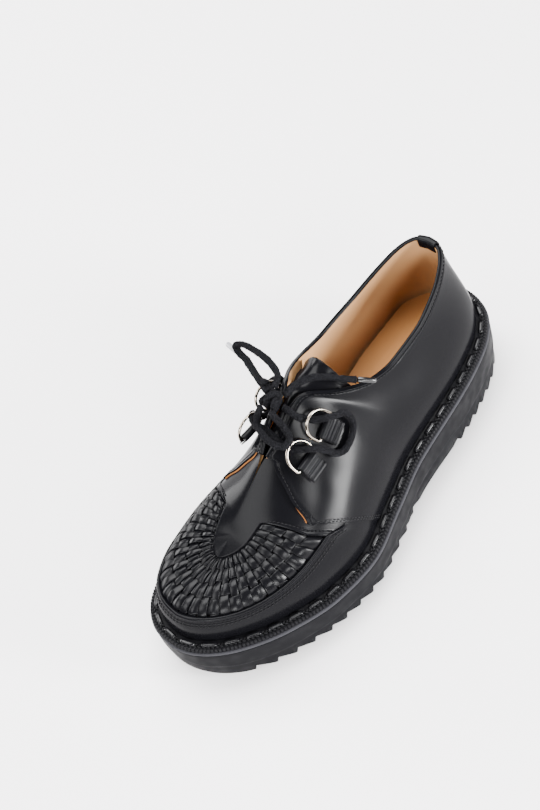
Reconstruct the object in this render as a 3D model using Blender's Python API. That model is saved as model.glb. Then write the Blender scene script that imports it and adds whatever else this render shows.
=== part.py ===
"""Creeper shoe for the left foot: stitched rubber sole, woven toe panel, four rings and a tied lace.

Lengths are in metres. The toe points to -Y, the heel to +Y, and +X is the outer side of the foot.
"""
import math

import bmesh
import bpy
import numpy as np

# Sole
SOLE_LENGTH = 0.303
BALL_WIDTH = 0.112
HEEL_RISE = 0.0370
BALL_RISE = 0.0255
TOE_RISE = 0.034
TOE_SPRING = 0.010
TOE_SWING = 0.0063
WAIST_ARCH = 0.003
HEEL_BEVEL = 0.003
SIDE_TAPER = 0.0014
MOULD_STEP = 0.0006
BAND_THICK = 0.0022
WELT_THICK = 0.0030
WELT_SHOWN = 0.0092
RIM_SETBACK = 0.0008
WELT_ROUND = 0.0010
MOULD_LINE = 0.42

# Saw teeth under the sole
TOOTH_PITCH = 0.0115
HEEL_TOOTH_PITCH = 0.0102
TOOTH_DEPTH = 0.0040
TOOTH_LAND = 0.0012
TOE_PAD = 0.0220
HEEL_PAD = 0.0200
TOE_TEETH = 13
HEEL_TEETH = 7
HEEL_CUT_AT = 0.34
TOE_CUT_AT = 0.90

# Upper
WALL = 0.0022
OVERLAY = 0.0013
PANEL_POCKET = 0.0011
STRIP_LIFT = 0.0006
HEEL_TOP = 0.1035
UPPER_SHIFT = 0.0026
GAP = 0.0003
STEP_WAY = 0.0024
STEP_UP = 0.012

# Where things sit round one side, as shares of the way from the toe tip to the heel back
PANEL_END = 0.345
SEAM = 0.372
THROAT = 0.465
COLLAR = 0.580
BACK_STRIP = 0.972
SEAM_SLANT = 0.092
SLANT_TOP = 0.50

# Steps in which the rim and the lines up the wall are worked out, and over which directions are read
RIM_STEPS = 401
LINE_STEPS = 33
READ_WAY = 0.006
READ_UP = 0.011

# Insole and tongue
INSOLE_THICK = 0.0035
INSOLE_CLEAR = 0.0022
INSOLE_ROUND = 0.0006
TONGUE_THICK = 0.0020
TONGUE_CLEAR = 0.0014

# Woven panel
RADIAL_STRIPS = 28
CROSS_STRIPS = 4
STRIP_GAP = 0.05
STRIP_HIGH = 0.0012
STRIP_LOW = 0.0006
PANEL_MARGIN = 0.016
PANEL_CLEAR = 0.0006

# Welt thong
DASHES = 50
THONG_WIDTH = 0.0032
THONG_CLEAR = 0.0026
THONG_LOW = 0.0005
THONG_HIGH = 0.0016
DASH_SHARE = 0.62
DASH_RAMP = 0.10

# Rings, holders and lace
RING_WIDTH = 0.0202
RING_REACH = 0.0165
WIRE = 0.00235
BAR_ROUND = 0.0010
ARC_SHARE = 0.64
HOLDER_WIDTH = 0.0140
HOLDER_LENGTH = 0.0130
HOLDER_SEAT = 0.0004
LEAF = 0.0009
LEAF_GAP = 0.0002
RIDGE = 0.0005
LACE = 0.0052
LACE_CLEAR = 0.0011
LACE_LEG = 0.0058
LACE_SQUARE = 0.3
TIP_LENGTH = 0.0115
TIP_WIDTH = 0.0036

# share of the length from the heel, outer half width, inner half width (shares of the ball width)
OUTLINE = (
    (0.00, 0.000, 0.000),
    (0.04, 0.240, 0.240),
    (0.12, 0.352, 0.340),
    (0.25, 0.412, 0.340),
    (0.40, 0.433, 0.318),
    (0.52, 0.492, 0.366),
    (0.64, 0.548, 0.445),
    (0.74, 0.519, 0.470),
    (0.84, 0.433, 0.440),
    (0.93, 0.301, 0.345),
    (0.98, 0.168, 0.210),
    (1.00, 0.000, 0.000),
)

# share of the length from the heel, share of the heel rise, share of the toe rise (the rest is the ball's)
SOLE_TOP = (
    (0.00, 1.00, 0.00),
    (0.22, 0.97, 0.00),
    (0.36, 0.72, 0.00),
    (0.50, 0.34, 0.00),
    (0.62, 0.05, 0.00),
    (0.72, 0.00, 0.02),
    (0.82, 0.00, 0.22),
    (0.92, 0.00, 0.60),
    (1.00, 0.00, 1.00),
)

# share of the length from the heel, share of the toe spring, share of the waist arch, share of the heel bevel
SOLE_BASE = (
    (0.000, 0.00, 0.00, 1.00),
    (0.020, 0.00, 0.00, 0.00),
    (0.270, 0.00, 0.00, 0.00),
    (0.300, 0.00, 1.00, 0.00),
    (0.480, 0.00, 1.00, 0.00),
    (0.500, 0.00, 0.00, 0.00),
    (0.850, 0.00, 0.00, 0.00),
    (0.900, 0.07, 0.00, 0.00),
    (0.940, 0.25, 0.00, 0.00),
    (0.975, 0.60, 0.00, 0.00),
    (1.000, 1.00, 0.00, 0.00),
)

# way round one side, top edge: share of the length from the heel, half width (share of the ball width),
# height (share of the heel top)
TOP_EDGE = (
    (0.000, 0.795, 0.000, 0.638),
    (0.200, 0.780, 0.000, 0.657),
    (0.350, 0.755, 0.000, 0.705),
    (0.400, 0.735, 0.000, 0.744),
    (0.440, 0.690, 0.000, 0.826),
    (0.465, 0.640, 0.000, 0.918),
    (0.475, 0.620, 0.040, 0.957),
    (0.510, 0.578, 0.045, 1.040),
    (0.550, 0.535, 0.045, 1.112),
    (0.580, 0.510, 0.065, 1.115),
    (0.600, 0.490, 0.115, 1.070),
    (0.640, 0.444, 0.185, 0.990),
    (0.690, 0.391, 0.222, 0.915),
    (0.750, 0.325, 0.234, 0.872),
    (0.820, 0.246, 0.228, 0.872),
    (0.890, 0.160, 0.197, 0.913),
    (0.950, 0.088, 0.130, 0.976),
    (0.980, 0.064, 0.066, 0.996),
    (1.000, 0.060, 0.000, 1.000),
)

# way round one side, first handle's rise and lean (a share of the ball width), last handle's reach and drop
WALL_SHAPE = (
    (0.000, 1.15, 0.012, 0.60, 0.00),
    (0.200, 0.98, 0.016, 0.58, 0.00),
    (0.350, 0.76, 0.018, 0.54, 0.00),
    (0.420, 0.64, 0.018, 0.50, 0.00),
    (0.465, 0.57, 0.018, 0.42, 0.00),
    (0.480, 0.54, 0.018, 0.40, 0.06),
    (0.570, 0.45, 0.022, 0.35, 0.16),
    (0.620, 0.40, 0.026, 0.34, 0.30),
    (0.750, 0.35, 0.030, 0.30, 0.35),
    (0.900, 0.35, 0.024, 0.25, 0.35),
    (1.000, 0.35, 0.018, 0.20, 0.35),
)

# way round one side, share of the seam's slant
SLANT = (
    (0.000, 0.00),
    (0.250, 0.05),
    (0.345, 0.75),
    (0.372, 1.00),
    (0.465, 0.42),
    (0.580, 0.12),
    (0.700, 0.00),
    (1.000, 0.00),
)

# way round one side, heights up the wall: toe wall's edge, panel's inner edge, facing edge
WALL_LINES = (
    (0.000, 0.290, 0.840, 0.920),
    (0.120, 0.305, 0.830, 0.920),
    (0.210, 0.335, 0.820, 0.910),
    (0.345, 0.375, 0.800, 0.900),
    (0.372, 0.300, 0.420, 0.525),
    (0.405, 0.300, 0.520, 0.665),
    (0.440, 0.300, 0.620, 0.800),
    (0.465, 0.300, 0.680, 0.955),
    (0.600, 0.300, 0.660, 0.955),
    (1.000, 0.300, 0.660, 0.955),
)

# way round one side, height of the middle over the facing edge, heights of the side points up the wall
TONGUE_ROWS = (
    (0.430, -0.0040, (0.80, 0.87, 0.94)),
    (0.450, -0.0036, (0.77, 0.86, 0.94)),
    (0.467, -0.0020, (0.74, 0.83, 0.92)),
    (0.490, 0.0000, (0.72, 0.82, 0.92)),
    (0.530, 0.0006, (0.70, 0.80, 0.92)),
    (0.570, 0.0008, (0.68, 0.78, 0.92)),
    (0.600, 0.0035, (0.68, 0.78, 0.88)),
    (0.630, 0.0100, (0.66, 0.75, 0.84)),
)

# ring holders: name, side, way round, height up the wall, tilt of the ring in degrees
RINGS = (
    ("outer_lower", 1, 0.461, 0.69, 14.0),
    ("outer_upper", 1, 0.526, 0.72, 14.0),
    ("inner_lower", -1, 0.461, 0.69, 34.0),
    ("inner_upper", -1, 0.530, 0.72, 34.0),
)

# lace through a ring, from under its arc to the shoe's side: distance up the wall from the bar,
# distance towards the heel, height off the bar
THREADING = (
    (0.0185, -0.0010, 0.0006),
    (0.0138, 0.0000, -0.0009),
    (0.0080, 0.0020, 0.0018),
    (0.0035, 0.0055, 0.0056),
    (-0.0010, 0.0088, 0.0063),
    (-0.0060, 0.0122, 0.0034),
)

# lace round the outside of an upper holder: way round, height up the wall
LACE_TURN = (
    (0.5525, 0.620),
    (0.5300, 0.585),
    (0.5050, 0.595),
    (0.4940, 0.640),
)

# the knot's middle, with x before the whole shoe is centred, and the lengths of lace that leave it:
# turn of the knot, lean to the outer side
KNOT = (-0.0055, -0.0190, 0.1214)
KNOT_RADIUS = 0.0041
KNOT_PITCH = 0.0056
KNOT_TURNS = 2
CROSSING_RISE = 0.0030
LEAVES = {
    "outer": (1.50, 4.0),
    "inner": (0.56, -8.0),
    "loop_top_first": (1.12, -0.3),
    "loop_top_last": (0.12, -0.9),
    "loop_lower_first": (0.75, -0.2),
    "loop_lower_last": (1.75, 0.5),
    "end_grey": (0.32, -0.7),
    "end_black": (1.30, 0.4),
}

# routes of the loops and ends between the knot and their far ends, in the knot's own frame
TOP_LOOP = (
    (-0.0085, -0.0070, 0.1280),
    (-0.0188, -0.0016, 0.1288),
    (-0.0331, 0.0013, 0.1286),
    (-0.0425, 0.0017, 0.1278),
    (-0.0472, 0.0001, 0.1252),
    (-0.0435, -0.0017, 0.1228),
    (-0.0365, -0.0036, 0.1224),
    (-0.0267, -0.0085, 0.1228),
    (-0.0185, -0.0125, 0.1243),
)
LOWER_LOOP = (
    (-0.0085, -0.0335, 0.1142),
    (-0.0010, -0.0378, 0.1125),
    (0.0080, -0.0390, 0.1100),
    (0.0135, -0.0362, 0.1087),
    (0.0130, -0.0312, 0.1094),
    (0.0075, -0.0282, 0.1140),
)
GREY_END = (
    (-0.0205, -0.0110, 0.1170),
    (-0.0280, -0.0075, 0.1165),
    (-0.0360, -0.0035, 0.1162),
    (-0.0430, 0.0000, 0.1160),
    (-0.0485, 0.0013, 0.1160),
)
BLACK_END = (
    (-0.0012, -0.0050, 0.1196),
    (0.0025, 0.0060, 0.1168),
    (0.0085, 0.0130, 0.1130),
    (0.0160, 0.0188, 0.1088),
    (0.0212, 0.0236, 0.1055),
)


def smooth(table, column, at):
    """Read one column of a table at the given places, with a monotone cubic between its rows."""
    x = np.array([row[0] for row in table])
    y = np.array([row[column] for row in table])
    step = np.diff(x)
    slope = np.diff(y) / step
    tangent = np.zeros(len(x))
    tangent[0] = slope[0]
    tangent[-1] = slope[-1]
    for i in range(1, len(x) - 1):
        if slope[i - 1] * slope[i] > 0.0:
            near = 2.0 * step[i] + step[i - 1]
            far = step[i] + 2.0 * step[i - 1]
            tangent[i] = (near + far) / (near / slope[i - 1] + far / slope[i])
    at = np.clip(np.asarray(at, float), x[0], x[-1])
    cell = np.clip(np.searchsorted(x, at, side="right") - 1, 0, len(x) - 2)
    t = (at - x[cell]) / step[cell]
    low = (1 + 2 * t) * (1 - t) ** 2 * y[cell] + t * (1 - t) ** 2 * step[cell] * tangent[cell]
    high = t * t * (3 - 2 * t) * y[cell + 1] + t * t * (t - 1) * step[cell] * tangent[cell + 1]
    return low + high


def sole_top(share):
    """Height of the grey band's top edge."""
    heel = smooth(SOLE_TOP, 1, share)
    toe = smooth(SOLE_TOP, 2, share)
    return BALL_RISE + (HEEL_RISE - BALL_RISE) * heel + (TOE_RISE - BALL_RISE) * toe


def sole_base(share):
    """Height of the sole's underside at the tooth tips."""
    spring = smooth(SOLE_BASE, 1, share)
    arch = smooth(SOLE_BASE, 2, share)
    bevel = smooth(SOLE_BASE, 3, share)
    return TOE_SPRING * spring + WAIST_ARCH * arch + HEEL_BEVEL * bevel


def share_at(y):
    """Share of the length from the heel at a place along the shoe."""
    return 0.5 - y / SOLE_LENGTH


OUTLINE_TURN = tuple((math.acos(1 - 2 * row[0]) / math.pi, row[1], row[2]) for row in OUTLINE)


def swing_at(share):
    """How far the toe leans to the inner side."""
    return TOE_SWING * np.clip((np.asarray(share, float) - 0.6) / 0.4, 0.0, 1.0) ** 2


def rim_at(side, share):
    """Plan point on the sole's rim."""
    turn = np.arccos(1 - 2 * np.clip(share, 0.0, 1.0)) / math.pi
    column = 1 if side > 0 else 2
    x = side * BALL_WIDTH * smooth(OUTLINE_TURN, column, turn) - swing_at(share)
    return x, SOLE_LENGTH * (0.5 - share)


def half_rim(side):
    """One side of the rim from the toe tip to the heel back: points, outward directions, way walked."""
    turn = np.linspace(0.0, 1.0, RIM_STEPS)
    share = 0.5 + 0.5 * np.cos(math.pi * turn)
    x, y = rim_at(side, share)
    dx = np.gradient(x)
    dy = np.gradient(y)
    dx[0] = dx[1]
    dx[-1] = dx[-2]
    dy[0] = 0.0
    dy[-1] = 0.0
    size = np.hypot(dx, dy)
    out_x = side * dy / size
    out_y = -side * dx / size
    walk = np.concatenate([[0.0], np.cumsum(np.hypot(np.diff(x), np.diff(y)))])
    return x, y, out_x, out_y, walk / walk[-1]


RIMS = {side: half_rim(side) for side in (1, -1)}
MIDDLE = 0.5 * float(max(RIMS[1][0]) + min(RIMS[-1][0]))


def rim_point(side, way, inset):
    """Plan point a set distance inside the rim, a share of the way round one side."""
    x, y, out_x, out_y, walk = RIMS[side]
    ox = np.interp(way, walk, out_x)
    oy = np.interp(way, walk, out_y)
    px = np.interp(way, walk, x) - ox * inset
    py = np.interp(way, walk, y) - oy * inset
    return px, py, ox, oy


def way_at(side, share):
    """Share of the way round one side at which the rim passes a share of the length."""
    x, y, out_x, out_y, walk = RIMS[side]
    return np.interp(SOLE_LENGTH * (0.5 - share), y, walk)


def ring_way(step, count):
    """Side and way of one of the even steps round the whole rim, from the toe tip by the outer side."""
    part = 2.0 * step / count
    if part <= 1.0:
        return 1, part
    return -1, 2.0 - part


def feather(side, way):
    """Lower edge of the upper, on the welt."""
    x, y, ox, oy = rim_point(side, way, WELT_SHOWN)
    z = sole_top(share_at(y)) + GAP + WELT_THICK + GAP
    return np.array([x, y, z]), np.array([ox, oy, 0.0])


def top_edge(side, way):
    """Top edge of the upper, from the plug's middle line round the collar to the heel."""
    share = smooth(TOP_EDGE, 1, way)
    x = side * BALL_WIDTH * smooth(TOP_EDGE, 2, way) - UPPER_SHIFT - 0.5 * swing_at(share)
    return np.array([x, SOLE_LENGTH * (0.5 - share), HEEL_TOP * smooth(TOP_EDGE, 3, way)])


CURVES = {}


def wall_curve(side, way):
    """Line up the wall of the upper from the welt to its top edge, with the way walked along it."""
    key = (side, round(way, 6))
    if key in CURVES:
        return CURVES[key]
    low, outward = feather(side, way)
    top = top_edge(side, way)
    rise = float(smooth(WALL_SHAPE, 1, way))
    lean = BALL_WIDTH * float(smooth(WALL_SHAPE, 2, way))
    reach = float(smooth(WALL_SHAPE, 3, way))
    drop = float(smooth(WALL_SHAPE, 4, way))
    first = low + outward * lean + np.array([0.0, 0.0, rise * (top[2] - low[2])])
    last = top + reach * (low - top) * np.array([1.0, 1.0, 0.0])
    if way <= THROAT:
        ahead = top_edge(side, max(way - 0.01, 0.0))
        behind = top_edge(side, min(way + 0.01, THROAT))
        slope = (behind[2] - ahead[2]) / (behind[1] - ahead[1])
        last[2] = top[2] + slope * (last[1] - top[1])
    last[2] -= drop * (top[2] - low[2])
    t = np.linspace(0.0, 1.0, LINE_STEPS)[:, None]
    line = (1 - t) ** 3 * low + 3 * t * (1 - t) ** 2 * first + 3 * t * t * (1 - t) * last + t ** 3 * top
    walk = np.concatenate([[0.0], np.cumsum(np.linalg.norm(np.diff(line, axis=0), axis=1))])
    CURVES[key] = (line, walk / walk[-1])
    return CURVES[key]


def on_wall(side, way, up):
    """Point on the upper's plain surface, also a little past the toe tip or the heel back."""
    if way < 0.0:
        side = -side
        way = -way
    if way > 1.0:
        side = -side
        way = 2.0 - way
    line, walk = wall_curve(side, way)
    return np.array([np.interp(up, walk, line[:, i]) for i in range(3)])


def wall_normal(side, way, up):
    """Outward direction of the upper's surface."""
    up = min(max(up, READ_UP), 1.0 - READ_UP)
    along = on_wall(side, way + READ_WAY, up) - on_wall(side, way - READ_WAY, up)
    climb = on_wall(side, way, up + READ_UP) - on_wall(side, way, up - READ_UP)
    if min(way, 1.0 - way) < 0.5 * READ_WAY:
        along = np.array([side * abs(along[0]) * (1 if way < 0.5 else -1), 0.0, 0.0])
        climb[0] = 0.0
    normal = side * np.cross(along, climb)
    return normal / np.linalg.norm(normal)


def wall_at(side, way, up, lift=0.0):
    """Point on the upper, lifted off its surface by a set distance."""
    point = on_wall(side, way, up)
    normal = wall_normal(side, way, up)
    if up == 1.0 and way <= THROAT:
        other = wall_normal(-side, way, up)
        normal = (normal + other) * np.array([0.0, 1.0, 1.0])
        normal = normal / np.linalg.norm(normal)
    return point + normal * lift


def line_height(way, which):
    """Height up the wall of one of the panel and facing lines."""
    return float(smooth(WALL_LINES, which, way))


class Mesh:
    """Points and faces gathered for one closed body, set over the middle of the footprint."""

    def __init__(self):
        self.points = []
        self.faces = []

    def add(self, point):
        self.points.append((float(point[0]) - MIDDLE, float(point[1]), float(point[2])))
        return len(self.points) - 1

    def face(self, *corners):
        ring = [c for i, c in enumerate(corners) if c != corners[i - 1]]
        if len(set(ring)) >= 3:
            self.faces.append(tuple(ring))

    def strip(self, first, second, closed=False):
        """Join two equal rows of points by four-sided faces."""
        count = len(first)
        for i in range(count if closed else count - 1):
            j = (i + 1) % count
            self.face(first[i], first[j], second[j], second[i])


def make_object(name, mesh, material, smooth_angle=None):
    data = bpy.data.meshes.new(name)
    data.from_pydata(mesh.points, [], mesh.faces)
    data.update()
    shape = bmesh.new()
    shape.from_mesh(data)
    bmesh.ops.recalc_face_normals(shape, faces=shape.faces)
    bmesh.ops.triangulate(shape, faces=shape.faces)
    if shape.calc_volume(signed=True) < 0.0:
        bmesh.ops.reverse_faces(shape, faces=shape.faces)
    shape.to_mesh(data)
    shape.free()
    body = bpy.data.objects.new(name, data)
    bpy.context.scene.collection.objects.link(body)
    data.materials.append(material)
    if smooth_angle is not None:
        data.shade_smooth()
        data.set_sharp_from_angle(angle=math.radians(smooth_angle))
    return body


def make_material(name, colour, roughness, metallic=0.0):
    material = bpy.data.materials.new(name)
    material.use_nodes = True
    shader = material.node_tree.nodes["Principled BSDF"]
    shader.inputs["Base Color"].default_value = (*colour, 1.0)
    shader.inputs["Roughness"].default_value = roughness
    shader.inputs["Metallic"].default_value = metallic
    material.diffuse_color = (*colour, 1.0)
    return material


def loop_points(mesh, stations, inset, height):
    """One loop of points round the rim: toe tip, outer side, heel back, inner side."""
    rows = []
    for side in (1, -1):
        order = stations[::-1] if side > 0 else stations
        for share in order:
            if share in (0.0, 1.0) and side < 0:
                continue
            x, y, ox, oy = rim_point(side, way_at(side, share), inset)
            rows.append(mesh.add((x, y, height(share_at(y), share))))
    return rows


def cap(mesh, rows, stations):
    """Close a loop of rim points with faces across the sole."""
    count = len(stations)
    outer = rows[:count]
    inner = [rows[0]] + rows[count:][::-1] + [rows[count - 1]]
    mesh.strip(outer, inner)


def plate(name, material, stations, levels, smooth_angle=35):
    """A closed plate following the rim: levels are (inset, height function) from its top to its base."""
    mesh = Mesh()
    loops = [loop_points(mesh, stations, inset, height) for inset, height in levels]
    for upper_row, lower_row in zip(loops, loops[1:]):
        mesh.strip(upper_row, lower_row, closed=True)
    cap(mesh, loops[0], stations)
    cap(mesh, loops[-1], stations)
    return make_object(name, mesh, material, smooth_angle)


def smooth_stations():
    turn = np.linspace(0.0, 1.0, 37)
    shares = 0.5 - 0.5 * np.cos(math.pi * turn)
    return [round(float(0.35 * s + 0.65 * t), 5) if 0 < t < 1 else float(t) for s, t in zip(shares, turn)]


def sole_stations():
    """Stations along the sole with the depth of cut at each, heel to toe."""
    rows = [(part * HEEL_PAD, 0.0) for part in (0.0, 0.075, 0.30, 0.625, 1.0)]
    start = HEEL_PAD
    for i in range(HEEL_TEETH):
        rows.append((start + HEEL_CUT_AT * HEEL_TOOTH_PITCH, 1.0))
        rows.append((start + HEEL_TOOTH_PITCH - TOOTH_LAND, 0.0))
        rows.append((start + HEEL_TOOTH_PITCH, 0.0))
        start += HEEL_TOOTH_PITCH
    waist_end = SOLE_LENGTH - TOE_PAD - TOE_TEETH * TOOTH_PITCH
    for part in (0.12, 0.35, 0.60, 0.85):
        rows.append((start + part * (waist_end - start), 0.0))
    start = waist_end
    for i in range(TOE_TEETH):
        rows.append((start, 0.0))
        rows.append((start + TOOTH_LAND, 0.0))
        rows.append((start + TOE_CUT_AT * TOOTH_PITCH, 1.0))
        start += TOOTH_PITCH
    rows += [(SOLE_LENGTH - part * TOE_PAD, 0.0) for part in (1.0, 0.57, 0.32, 0.136, 0.036, 0.0)]
    return [(round(place / SOLE_LENGTH, 6), cut) for place, cut in rows]


def build_sole(materials):
    rows = sole_stations()
    stations = [share for share, cut in rows]
    cuts = dict(rows)

    def top(share, station):
        return sole_top(share) - BAND_THICK - GAP

    def base(share, station):
        return sole_base(station) + TOOTH_DEPTH * cuts[station]

    def mould_high(share, station):
        return MOULD_LINE * top(share, station) + (1.0 - MOULD_LINE) * sole_base(station)

    def mould_low(share, station):
        return mould_high(share, station) - 2 * MOULD_STEP

    plate("outsole", materials["rubber"], stations, (
        (0.0, top),
        ((1.0 - MOULD_LINE) * SIDE_TAPER, mould_high),
        ((1.0 - MOULD_LINE) * SIDE_TAPER + MOULD_STEP, mould_low),
        (SIDE_TAPER + MOULD_STEP, base)))

    fine = smooth_stations()
    plate("grey_band", materials["band"], fine, (
        (0.0, lambda share, station: sole_top(share)),
        (0.0, lambda share, station: sole_top(share) - BAND_THICK)))
    plate("welt", materials["welt"], fine, (
        (RIM_SETBACK + WELT_ROUND, lambda share, station: sole_top(share) + GAP + WELT_THICK),
        (RIM_SETBACK, lambda share, station: sole_top(share) + GAP + 0.62 * WELT_THICK),
        (RIM_SETBACK, lambda share, station: sole_top(share) + GAP)))
    inside = WELT_SHOWN + WALL + INSOLE_CLEAR
    floor = GAP + WELT_THICK + GAP
    plate("insole", materials["insole"], fine, (
        (inside + INSOLE_ROUND, lambda share, station: sole_top(share) + floor + INSOLE_THICK),
        (inside, lambda share, station: sole_top(share) + floor + 0.6 * INSOLE_THICK),
        (inside, lambda share, station: sole_top(share) + floor)))


def build_thong(materials):
    """Flat thong along the welt: a low ring whose dashes stand proud."""
    mesh = Mesh()
    rings = []
    inner = WELT_SHOWN - THONG_CLEAR
    outer = inner - THONG_WIDTH
    ends = DASH_SHARE - DASH_RAMP
    marks = ((0.0, THONG_LOW), (DASH_RAMP, THONG_HIGH), (ends, THONG_HIGH), (DASH_SHARE, THONG_LOW))
    for dash in range(DASHES):
        for mark, high in marks:
            side, way = ring_way(dash + mark, DASHES)
            row = []
            for inset, lift in ((inner, 0.0), (inner, high), (outer, high), (outer, 0.0)):
                x, y, ox, oy = rim_point(side, way, inset)
                row.append(mesh.add((x, y, sole_top(share_at(y)) + GAP + WELT_THICK + GAP + lift)))
            rings.append(row)
    for i, row in enumerate(rings):
        mesh.strip(row, rings[(i + 1) % len(rings)], closed=True)
    make_object("welt_thong", mesh, materials["lacing"], 30)


def slanted(way, up):
    """The seam and its neighbours lean back towards the welt."""
    near = smooth(SLANT, 1, way)
    return float(way + SEAM_SLANT * near * max(0.0, 1.0 - up / SLANT_TOP))


def upper_columns():
    """Way round one side and its zone: panel, vamp or quarter."""
    columns = [(way, "panel") for way in np.linspace(0.0, PANEL_END, 13)]
    columns += [(way, "vamp") for way in (PANEL_END + STEP_WAY, SEAM)]
    columns += [(way, "quarter") for way in np.linspace(SEAM + STEP_WAY, THROAT, 4)]
    columns += [(THROAT + STEP_WAY * step, "quarter") for step in (1.5, 5.0)]
    columns += [(way, "quarter") for way in np.linspace(THROAT + 15.0 * STEP_WAY, COLLAR, 5)]
    behind = np.linspace(COLLAR + 6.0 * STEP_WAY, BACK_STRIP - 5.0 * STEP_WAY, 12)
    columns += [(way, "quarter") for way in behind]
    columns += [(way, "back") for way in np.linspace(BACK_STRIP, 1.0, 3)]
    return [(float(way), zone) for way, zone in columns]


def upper_rows(way, zone):
    """Heights up the wall at one column, each with how far the leather stands off there."""
    toe_line = line_height(way, 1)
    panel_line = line_height(way, 2)
    facing_line = line_height(way, 3)
    rows = []
    for up in (0.0, 0.33 * toe_line, 0.68 * toe_line, toe_line):
        rows.append((up, OVERLAY))
    middle = {"panel": -PANEL_POCKET, "vamp": 0.0, "quarter": OVERLAY, "back": OVERLAY}[zone]
    inner = OVERLAY if zone in ("quarter", "back") else 0.0
    half = 0.5 * (toe_line + panel_line)
    rows += [(toe_line + STEP_UP, middle), (half, middle), (panel_line - STEP_UP, middle)]
    rows += [(panel_line, inner), (facing_line - STEP_UP, inner)]
    last = inner if way > THROAT else 0.0
    rows += [(facing_line, last), (0.5 * (facing_line + 1.0), last), (1.0, last)]
    if zone == "back":
        rows = [(up, lift + STRIP_LIFT) for up, lift in rows]
    return rows


def build_upper(materials):
    mesh = Mesh()
    columns = upper_columns()
    outer = {}
    inner = {}
    for side in (1, -1):
        for i, (way, zone) in enumerate(columns):
            rows = upper_rows(way, zone)
            for j, (up, lift) in enumerate(rows):
                shared = side < 0 and (i in (0, len(columns) - 1) or (j == len(rows) - 1 and way <= THROAT))
                if shared:
                    outer[side, i, j] = outer[1, i, j]
                    inner[side, i, j] = inner[1, i, j]
                    continue
                place = slanted(way, up)
                outer[side, i, j] = mesh.add(wall_at(side, place, up, lift))
                inner[side, i, j] = mesh.add(wall_at(side, place, up, -WALL))
    last_row = len(rows) - 1
    for side in (1, -1):
        for i in range(len(columns) - 1):
            for j in range(last_row):
                for skin, turn in ((outer, side), (inner, -side)):
                    corners = [(i, j), (i + 1, j), (i + 1, j + 1), (i, j + 1)]
                    mesh.face(*[skin[side, k, m] for k, m in corners[::turn]])
            mesh.face(outer[side, i, 0], outer[side, i + 1, 0], inner[side, i + 1, 0], inner[side, i, 0])
            if columns[i + 1][0] > THROAT:
                mesh.face(outer[side, i, last_row], outer[side, i + 1, last_row],
                          inner[side, i + 1, last_row], inner[side, i, last_row])
    make_object("upper", mesh, materials["leather"], 32)


def build_tongue(materials):
    """Tongue under the facings, following the inside of the upper and standing a little above it."""
    mesh = Mesh()
    tops = []
    bases = []
    for way, height, ups in TONGUE_ROWS:
        depth = WALL + TONGUE_CLEAR
        ridge = top_edge(1, way)
        ridge[0] = -UPPER_SHIFT - 0.5 * float(swing_at(share_at(ridge[1])))
        ridge[2] += height
        row = []
        for side in (1, -1):
            edge = [(on_wall(side, way, up), wall_normal(side, way, up)) for up in ups]
            row += edge if side > 0 else edge[::-1]
        row.insert(len(ups), (ridge, np.array([0.0, 0.0, 1.0])))
        tops.append([mesh.add(point - normal * depth) for point, normal in row])
        bases.append([mesh.add(point - normal * (depth + TONGUE_THICK)) for point, normal in row])
    for row, after, low, low_after in zip(tops, tops[1:], bases, bases[1:]):
        mesh.strip(row, after)
        mesh.strip(low, low_after)
        mesh.face(row[0], after[0], low_after[0], low[0])
        mesh.face(row[-1], after[-1], low_after[-1], low[-1])
    mesh.strip(tops[0], bases[0])
    mesh.strip(tops[-1], bases[-1])
    make_object("tongue", mesh, materials["leather"], 40)


def panel_place(across, up_share):
    """A place on the woven panel: across runs from -1 on the inner side to 1 on the outer."""
    side = 1 if across >= 0.0 else -1
    way = abs(across) * (PANEL_END - 0.8 * STEP_WAY)
    low = line_height(way, 1) + STEP_UP + PANEL_MARGIN
    high = line_height(way, 2) - STEP_UP - PANEL_MARGIN
    up = low + (high - low) * up_share
    return side, slanted(way, up), up


def strip_edges(count):
    """Edges of the strips in one direction, as places in strips, each with its strip's number."""
    return [(strip + edge, strip) for strip in range(count) for edge in (STRIP_GAP, 1.0 - STRIP_GAP)]


def build_panel(materials):
    """Woven panel: one sheet whose strips stand high and low in turn, over a plain underside."""
    mesh = Mesh()
    columns = strip_edges(RADIAL_STRIPS)
    rows = strip_edges(CROSS_STRIPS)

    def add_point(i, j, lift):
        side, way, up = panel_place(2.0 * columns[i][0] / RADIAL_STRIPS - 1.0, rows[j][0] / CROSS_STRIPS)
        return mesh.add(wall_at(side, way, up, lift))

    top = {}
    for i, (place, strip) in enumerate(columns):
        for j, (climb, band) in enumerate(rows):
            top[i, j] = add_point(i, j, STRIP_HIGH if (strip + band) % 2 == 0 else STRIP_LOW)
    for i in range(len(columns) - 1):
        for j in range(len(rows) - 1):
            mesh.face(top[i, j], top[i + 1, j], top[i + 1, j + 1], top[i, j + 1])

    across = list(range(0, len(columns), 2)) + [len(columns) - 1]
    up = list(range(0, len(rows), 2)) + [len(rows) - 1]
    base = {(i, j): add_point(i, j, PANEL_CLEAR - PANEL_POCKET) for i in across for j in up}
    for i, k in zip(across, across[1:]):
        for j, m in zip(up, up[1:]):
            mesh.face(base[i, j], base[i, m], base[k, m], base[k, j])
        for j in (up[0], up[-1]):
            mesh.face(base[i, j], base[k, j], *[top[n, j] for n in range(k, i - 1, -1)])
    for j, m in zip(up, up[1:]):
        for i in (across[0], across[-1]):
            mesh.face(base[i, j], base[i, m], *[top[i, n] for n in range(m, j - 1, -1)])
    make_object("woven_panel", mesh, materials["leather"], 20)


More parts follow.
